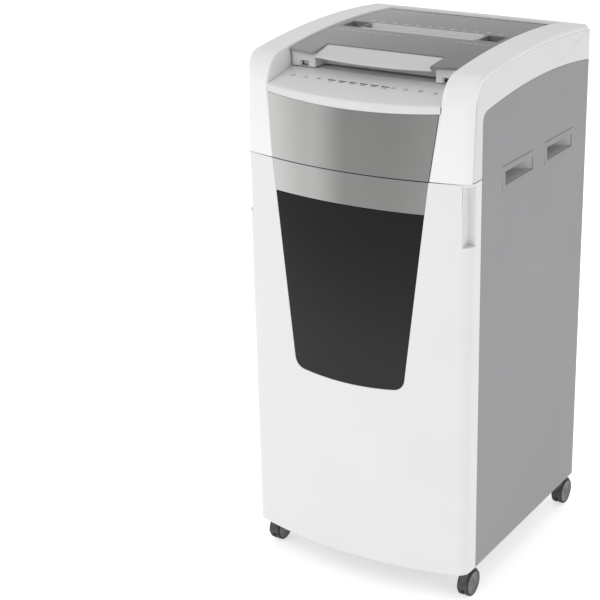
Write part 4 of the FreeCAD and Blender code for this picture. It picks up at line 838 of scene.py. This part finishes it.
class SHREDDER_OT_lid(bpy.types.Operator):
    """Mould the lid with its frame, handle and manual feed mouth, and print its signs"""
    bl_idname = "shredder.lid"
    bl_label = "Lid"

    def execute(self, context):
        edge = context.scene.shredder.edge
        softened("lid_panel", edge)
        softened("lid_frame", edge * 0.7)
        softened("lid_handle", edge * 2.0, segments=3)
        softened("manual_feed_throat", edge, FINISHES["throat_liner"])
        softened("presser_plate", edge * 0.7)
        ring = plate_mesh("lid_ring", sign("stop", 0.0095))
        sheet = plate_mesh("lid_sheet", frame_band(0.0060, 0.0080, 0.0010))
        guide = plate_mesh("guide_dash", [bar(0, 0, 0.0085, 0.0012)])
        for name, mark, starts in (("lid_rings", ring, [(6, -0.138, SIGN_ROW_Y, 0.052)]),
                                   ("lid_sheets", sheet, [(6, -0.112, SIGN_ROW_Y, 0.052)]),
                                   ("lid_guides", guide, [(12, -0.166, GUIDE_ROW_Y, 0.0125),
                                                          (6, 0.104, GUIDE_ROW_Y, 0.0125)])):
            rows = [(count, (x, y, lid_z(y) + PRINT_LIFT), (step, 0, 0), NO_TURN)
                    for count, x, y, step in starts]
            marks = repeated(name, mark, rows, FINISHES["printed_mark"])
            placed(marks, "lid", "light_shell", FINISHES["printed_mark"])
        surround = [moved(plate_mesh("surround", frame_band(0.0190, 0.0090, 0.0008)),
                          (side * LATCH_X, SKIRT_Y - PRINT_LIFT, LATCH_Z), (math.pi / 2, 0.0, 0.0))
                    for side in (-1, 1)]
        marks = new_object("latch_surrounds", joined("surrounds", surround))
        placed(marks, "lid", "lid_smoke", FINISHES["bar_mark"])
        cover = new_object("hinge_cover", self.hinge_cover())
        placed(cover, "cabinet", "white_shell", FINISHES["white_shell"])
        return {"FINISHED"}

    def hinge_cover(self):
        """Thin strip in front of the rear bar, just behind the lid's swing."""
        front, back = REAR_BAR_Y - 0.0052, REAR_BAR_Y + 0.0006
        top = lid_z(front) + 0.0006
        foot = top - 0.0008
        return bar_form("hinge_cover", -PANEL_HALF, PANEL_HALF,
                        [(front, top), (front, foot), (back, foot), (back, top)])


class SHREDDER_OT_grips(bpy.types.Operator):
    """Line the grip recesses in the sides, with ends and floors that slope inward"""
    bl_idname = "shredder.grips"
    bl_label = "Grip recesses"

    def execute(self, context):
        right = joined("grips", [self.liner(*span) for span in GRIP_SPANS])
        liners = new_object("side_grip_liners", joined("grip_liners", [right, mirrored(right)]))
        placed(liners, "cabinet", "grey_panel", FINISHES["grip_liner"], "side_grip_cups")
        # Dark strips of painted shadow along the top and the front edges of the sunk fields, where the step
        # shades them.
        right = joined("steps", [self.step_shadow_line(*span) for span in GRIP_FIELDS])
        steps = new_object("side_grip_steps", joined("grip_step_shadows", [right, mirrored(right)]))
        placed(steps, "cabinet", "grey_panel", FINISHES["painted_step_shadow"])
        return {"FINISHED"}

    def step_shadow_line(self, front, back):
        """Narrow dark strip of painted shadow along the top and the front of one sloping field, where the
        step shades it.
        """
        low, high = GRIP_FIELD_Z
        line, lift = 0.0020, 0.0002
        far, foot = front + 0.9 * (back - front), high - 0.9 * (high - low)

        def skin(y, z):
            depth = min((back - y) / (back - front), (z - low) / (high - low))
            return min(SIDE_X, SIDE_X - GRIP_STEP * depth + lift)

        inner = (front + line, high - line)
        quads = [[(front, high), (far, high), (far, inner[1]), inner],
                 [(front, foot), (front, high), inner, (inner[0], foot)]]
        points, faces = [], []
        for quad in quads:
            start = len(points)
            points += [(skin(y, z) - sunk, y, z) for sunk in (0.0, 0.0004) for y, z in quad]
            faces += [tuple(start + k for k in face) for face in BLOCK_FACES]
        return mesh_of("step_shadow_line", points, faces)

    def liner(self, front, back):
        """Tub behind one hole: straight at the top, drawn in at the bottom and at the rear end."""
        outer_x, inner_x = SIDE_X - WALL, SIDE_X - GRIP_DEPTH
        low, high = GRIP_Z
        mouth = [(front, low), (back, low), (back, high), (front, high)]
        floor = [(front + 0.004, low + 0.006), (back - 0.034, low + 0.006), (back - 0.034, high - 0.001),
                 (front + 0.004, high - 0.001)]
        rings = [[(outer_x + 0.0006, y, z) for y, z in mouth], [(inner_x, y, z) for y, z in floor]]
        shell = 0.0016
        for ring, x, grow in ((floor, inner_x - shell, shell), (mouth, outer_x, shell)):
            middle_y = sum(p[0] for p in ring) / 4
            middle_z = sum(p[1] for p in ring) / 4
            rings.append([(x, y + math.copysign(grow, y - middle_y), z + math.copysign(grow, z - middle_z))
                          for y, z in ring])
        points = [p for ring in rings for p in ring]
        faces = [(4, 5, 6, 7), (8, 11, 10, 9)]
        for a, b in ((0, 4), (8, 12), (12, 0)):
            for k in range(4):
                after = (k + 1) % 4
                faces.append((a + k, a + after, b + after, b + k))
        return mesh_of("grip_liner", points, faces)


class SHREDDER_OT_castors(bpy.types.Operator):
    """Turn the twin castor wheels and mould their hoods"""
    bl_idname = "shredder.castors"
    bl_label = "Castors"

    def execute(self, context):
        for row in ROWS:
            for word in SIDES:
                name = f"{row}_{word}_castor"
                softened(name + "_hood", 0.0005)
                low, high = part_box(name + "_wheels")
                centre = (low + high) / 2
                tread, disc = self.wheels((high.z - low.z) / 2, high.x - low.x)
                body = f"{row}_{word}_wheels"
                treads = new_object(name + "_treads", moved(tread, centre))
                placed(treads, body, "castor_tread", FINISHES["castor_tread"], name + "_wheels")
                discs = new_object(name + "_discs", moved(disc, centre))
                placed(discs, body, "castor_tread", FINISHES["wheel_disc"])
        return {"FINISHED"}

    def wheels(self, radius, width):
        """Rubber treads and dished discs of the pair, centred on the axle's middle."""
        thick = 0.010
        half = width / 2
        treads, discs = [], []
        for side in (-1, 1):
            out, inner = side * half, side * (half - thick)
            soft = 0.0024
            rim = radius - 0.0045
            shoulder = [(soft * (1 - math.cos(a)), radius - soft + soft * math.sin(a))
                        for a in map(math.radians, (0, 30, 60, 90))]
            tread = [(inner, rim)] + [(inner + side * depth, r) for depth, r in shoulder]
            tread += [(out - side * depth, r) for depth, r in reversed(shoulder)]
            tread += [(out, rim + 0.0004), (out - side * 0.0006, rim)]
            treads.append(spun("tread", tread, closed=True))
            dish = [(inner, 0.0032), (inner, rim)]
            dish += [(out - side * depth, r) for depth, r in (
                (0.0006, rim), (0.0002, rim - 0.0008), (0.0002, rim - 0.0026), (0.0020, rim - 0.0056),
                (0.0024, rim - 0.0090), (0.0018, 0.0075), (0.0008, 0.0062), (0.0008, 0.0050),
                (0.0016, 0.0044), (0.0018, 0.0))]
            discs.append(spun("disc", dish, closed=False))
        axle = [(-half + 0.002, 0.0), (-half + 0.002, 0.003), (half - 0.002, 0.003), (half - 0.002, 0.0)]
        discs.append(spun("axle", axle, closed=False, steps=24))
        return joined("treads", treads), joined("discs", discs)


def spun(name, profile, closed, steps=64):
    """Turn a profile of (x, radius) about X. A closed one is a ring, an open one ends on the axis."""
    points, faces = [], []
    count = len(profile)
    for k in range(steps):
        angle = 2 * math.pi * k / steps
        points += [(x, r * math.cos(angle), r * math.sin(angle)) for x, r in profile]
    spans = count if closed else count - 1
    for k in range(steps):
        after = (k + 1) % steps
        for j in range(spans):
            nxt = (j + 1) % count
            faces.append((k * count + j, k * count + nxt, after * count + nxt, after * count + j))
    return mesh_of(name, points, faces)


class SHREDDER_OT_back(bpy.types.Operator):
    """Screws, louvres and the mains inlet on the back"""
    bl_idname = "shredder.back"
    bl_label = "Back"

    def execute(self, context):
        head = spun("screw", [(0.0, 0.0), (0.0, 0.0045), (0.0007, 0.0045), (0.0013, 0.0038), (0.0016, 0.0026),
                              (0.0016, 0.0019), (0.0007, 0.0017), (0.0007, 0.0)], closed=False, steps=32)
        moved(head, (0, 0, 0), (0, 0, math.pi / 2))
        x = SIDE_X - 0.025
        rows = []
        heights = (0.110, 0.360, 0.610, 0.980)
        for side in (-1, 1):
            rows += [(3, (side * x, BACK_Y, heights[0]), (0, 0, heights[1] - heights[0]), (0, 0.4, 0)),
                     (1, (side * x, BACK_Y, heights[3]), (0, 0, 0), NO_TURN)]
        screws = repeated("rear_screws", head, rows, FINISHES["screw_steel"])
        placed(screws, "cabinet", "screw_steel", FINISHES["screw_steel"], "frame_screws")
        slat = bar_form("slat", -0.055, 0.055,
                        [(0.0, 0.0), (-0.0008, 0.0007), (-0.0028, 0.0032), (-0.0020, 0.0038)])
        slats = repeated("vent_slats", slat, [(8, (-0.115, BACK_Y - 0.0002, 0.9151), (0, 0, 0.010), NO_TURN)],
                         FINISHES["grey_panel"])
        placed(slats, "cabinet", "grey_panel", FINISHES["grey_panel"])
        softened("power_inlet", 0.0004)
        softened("switch_rocker", 0.0004)
        return {"FINISHED"}


class SHREDDER_OT_feed(bpy.types.Operator):
    """Mould the feed tray and rib the pick-up tyres"""
    bl_idname = "shredder.feed"
    bl_label = "Feed"

    def execute(self, context):
        softened("feed_tray", 0.0005)
        for row in ROWS:
            low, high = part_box(f"{row}_roller_tyres")
            axis = (low + high) / 2
            radius = (high.z - low.z) / 2
            width = 0.024
            core = radius - 0.0009
            sleeve = [(-width / 2, 0.005), (-width / 2, core - 0.001), (-width / 2 + 0.001, core),
                      (width / 2 - 0.001, core), (width / 2, core - 0.001), (width / 2, 0.005)]
            half = width / 2 - 0.0012
            foot, tip = core - 0.0004, radius - 0.00005
            rib = bar_form("rib", -half, half,
                           [(-0.0008, foot), (0.0008, foot), (0.00045, tip), (-0.00045, tip)])
            count = 40
            turn = (2 * math.pi / count, 0.0, 0.0)
            reach = high.x - width / 2
            places = (-reach, -0.035, 0.035, reach)
            rows = [(count, (x, axis.y, axis.z), (0, 0, 0), turn) for x in places]
            ribs = repeated(f"{row}_tyre_ribs", rib, rows, FINISHES["roller_rubber"])
            sleeves = [moved(spun("sleeve", sleeve, closed=True), (x, axis.y, axis.z)) for x in places]
            form = joined("tyres", sleeves + [ribs.data])
            bpy.data.objects.remove(ribs)
            tyres = new_object(f"{row}_ribbed_tyres", form)
            placed(tyres, f"{row}_roller", "roller_rubber", FINISHES["roller_rubber"], f"{row}_roller_tyres")
        return {"FINISHED"}


class SHREDDER_OT_inside(bpy.types.Operator):
    """Give every piece of the frame that still shows its finish"""
    bl_idname = "shredder.inside"
    bl_label = "Inside"

    def execute(self, context):
        for thing in frame["nodes"].values():
            for slot in thing.material_slots:
                if slot.material.name in FINISHES:
                    slot.material = FINISHES[slot.material.name]
        return {"FINISHED"}


class SHREDDER_OT_stage(bpy.types.Operator):
    """Pale floor, soft studio light and the camera"""
    bl_idname = "shredder.stage"
    bl_label = "Stage"

    def execute(self, context):
        settings = context.scene.shredder_stage
        size = 12.0
        floor = new_object("floor", mesh_of("floor", [(-size, -size, 0), (size, -size, 0), (size, size, 0),
                                                      (-size, size, 0)], [(0, 1, 2, 3)], outward=False))
        pale = finish("studio_floor", grey(0.92), 0.75, 0.01, 2.0, 60.0, 0.02)
        shader = part_of(pale, "BSDF_PRINCIPLED")
        shader.inputs["Emission Color"].default_value = (1.0, 1.0, 1.0, 1.0)
        shader.inputs["Emission Strength"].default_value = 0.60
        floor.data.materials.append(pale)
        world = bpy.data.worlds.new("studio")
        world.use_nodes = True
        world.node_tree.nodes["Background"].inputs["Color"].default_value = (1.0, 1.0, 1.0, 1.0)
        world.node_tree.nodes["Background"].inputs["Strength"].default_value = 0.60
        context.scene.world = world
        context.scene.view_settings.view_transform = "Standard"
        self.light("key", (-1.8, -3.0, 3.4), (0.0, 0.0, 0.6), 2.4, 38.0)
        self.light("fill", (3.4, -1.6, 2.2), (0.0, 0.0, 0.6), 2.2, 11.0)
        self.light("top", (0.2, 0.6, 3.6), (0.0, 0.1, 0.9), 2.6, 11.0)
        eye = Vector(settings.eye)
        azimuth, elevation = settings.azimuth, settings.elevation
        back = Vector((math.sin(azimuth) * math.cos(elevation), -math.cos(azimuth) * math.cos(elevation),
                       math.sin(elevation)))
        camera = bpy.data.objects.new("camera", bpy.data.cameras.new("camera"))
        context.scene.collection.objects.link(camera)
        camera.data.sensor_width = 36.0
        camera.data.lens = settings.lens
        camera.data.clip_end = 60.0
        turn = (-back).to_track_quat("-Z", "Y").to_matrix() @ Matrix.Rotation(settings.roll, 3, "Z")
        camera.matrix_world = Matrix.Translation(eye) @ turn.to_4x4()
        context.scene.camera = camera
        return {"FINISHED"}

    def light(self, name, place, target, size, power):
        """One large square soft light aimed at a point."""
        lamp = bpy.data.lights.new(name, "AREA")
        lamp.shape = "SQUARE"
        lamp.size = size
        lamp.energy = power
        thing = bpy.data.objects.new(name, lamp)
        bpy.context.scene.collection.objects.link(thing)
        way = Vector(target) - Vector(place)
        thing.location = place
        thing.rotation_mode = "QUATERNION"
        thing.rotation_quaternion = way.to_track_quat("-Z", "Y")


BUILD_ORDER = (SHREDDER_OT_finishes, SHREDDER_OT_rails, SHREDDER_OT_shells, SHREDDER_OT_control_panel,
               SHREDDER_OT_lid, SHREDDER_OT_grips, SHREDDER_OT_castors, SHREDDER_OT_back, SHREDDER_OT_feed,
               SHREDDER_OT_inside, SHREDDER_OT_stage)


class SHREDDER_PT_build(bpy.types.Panel):
    """Settings and the steps that build the shredder"""
    bl_idname = "SHREDDER_PT_build"
    bl_label = "Paper Shredder"
    bl_space_type = "VIEW_3D"
    bl_region_type = "UI"
    bl_category = "Shredder"

    def draw(self, context):
        for group in (context.scene.shredder, context.scene.shredder_stage):
            for name in group.__annotations__:
                self.layout.prop(group, name)
        for step in BUILD_ORDER:
            self.layout.operator(step.bl_idname)


CLASSES = (ShredderSettings, StageSettings) + BUILD_ORDER + (SHREDDER_PT_build,)


def register():
    for cls in CLASSES:
        bpy.utils.register_class(cls)
    bpy.types.Scene.shredder = bpy.props.PointerProperty(type=ShredderSettings)
    bpy.types.Scene.shredder_stage = bpy.props.PointerProperty(type=StageSettings)


def unregister():
    del bpy.types.Scene.shredder_stage
    del bpy.types.Scene.shredder
    for cls in reversed(CLASSES):
        bpy.utils.unregister_class(cls)


def main():
    register()
    for step in BUILD_ORDER:
        group, name = step.bl_idname.split(".")
        getattr(getattr(bpy.ops, group), name)()


if __name__ == "__main__":
    main()
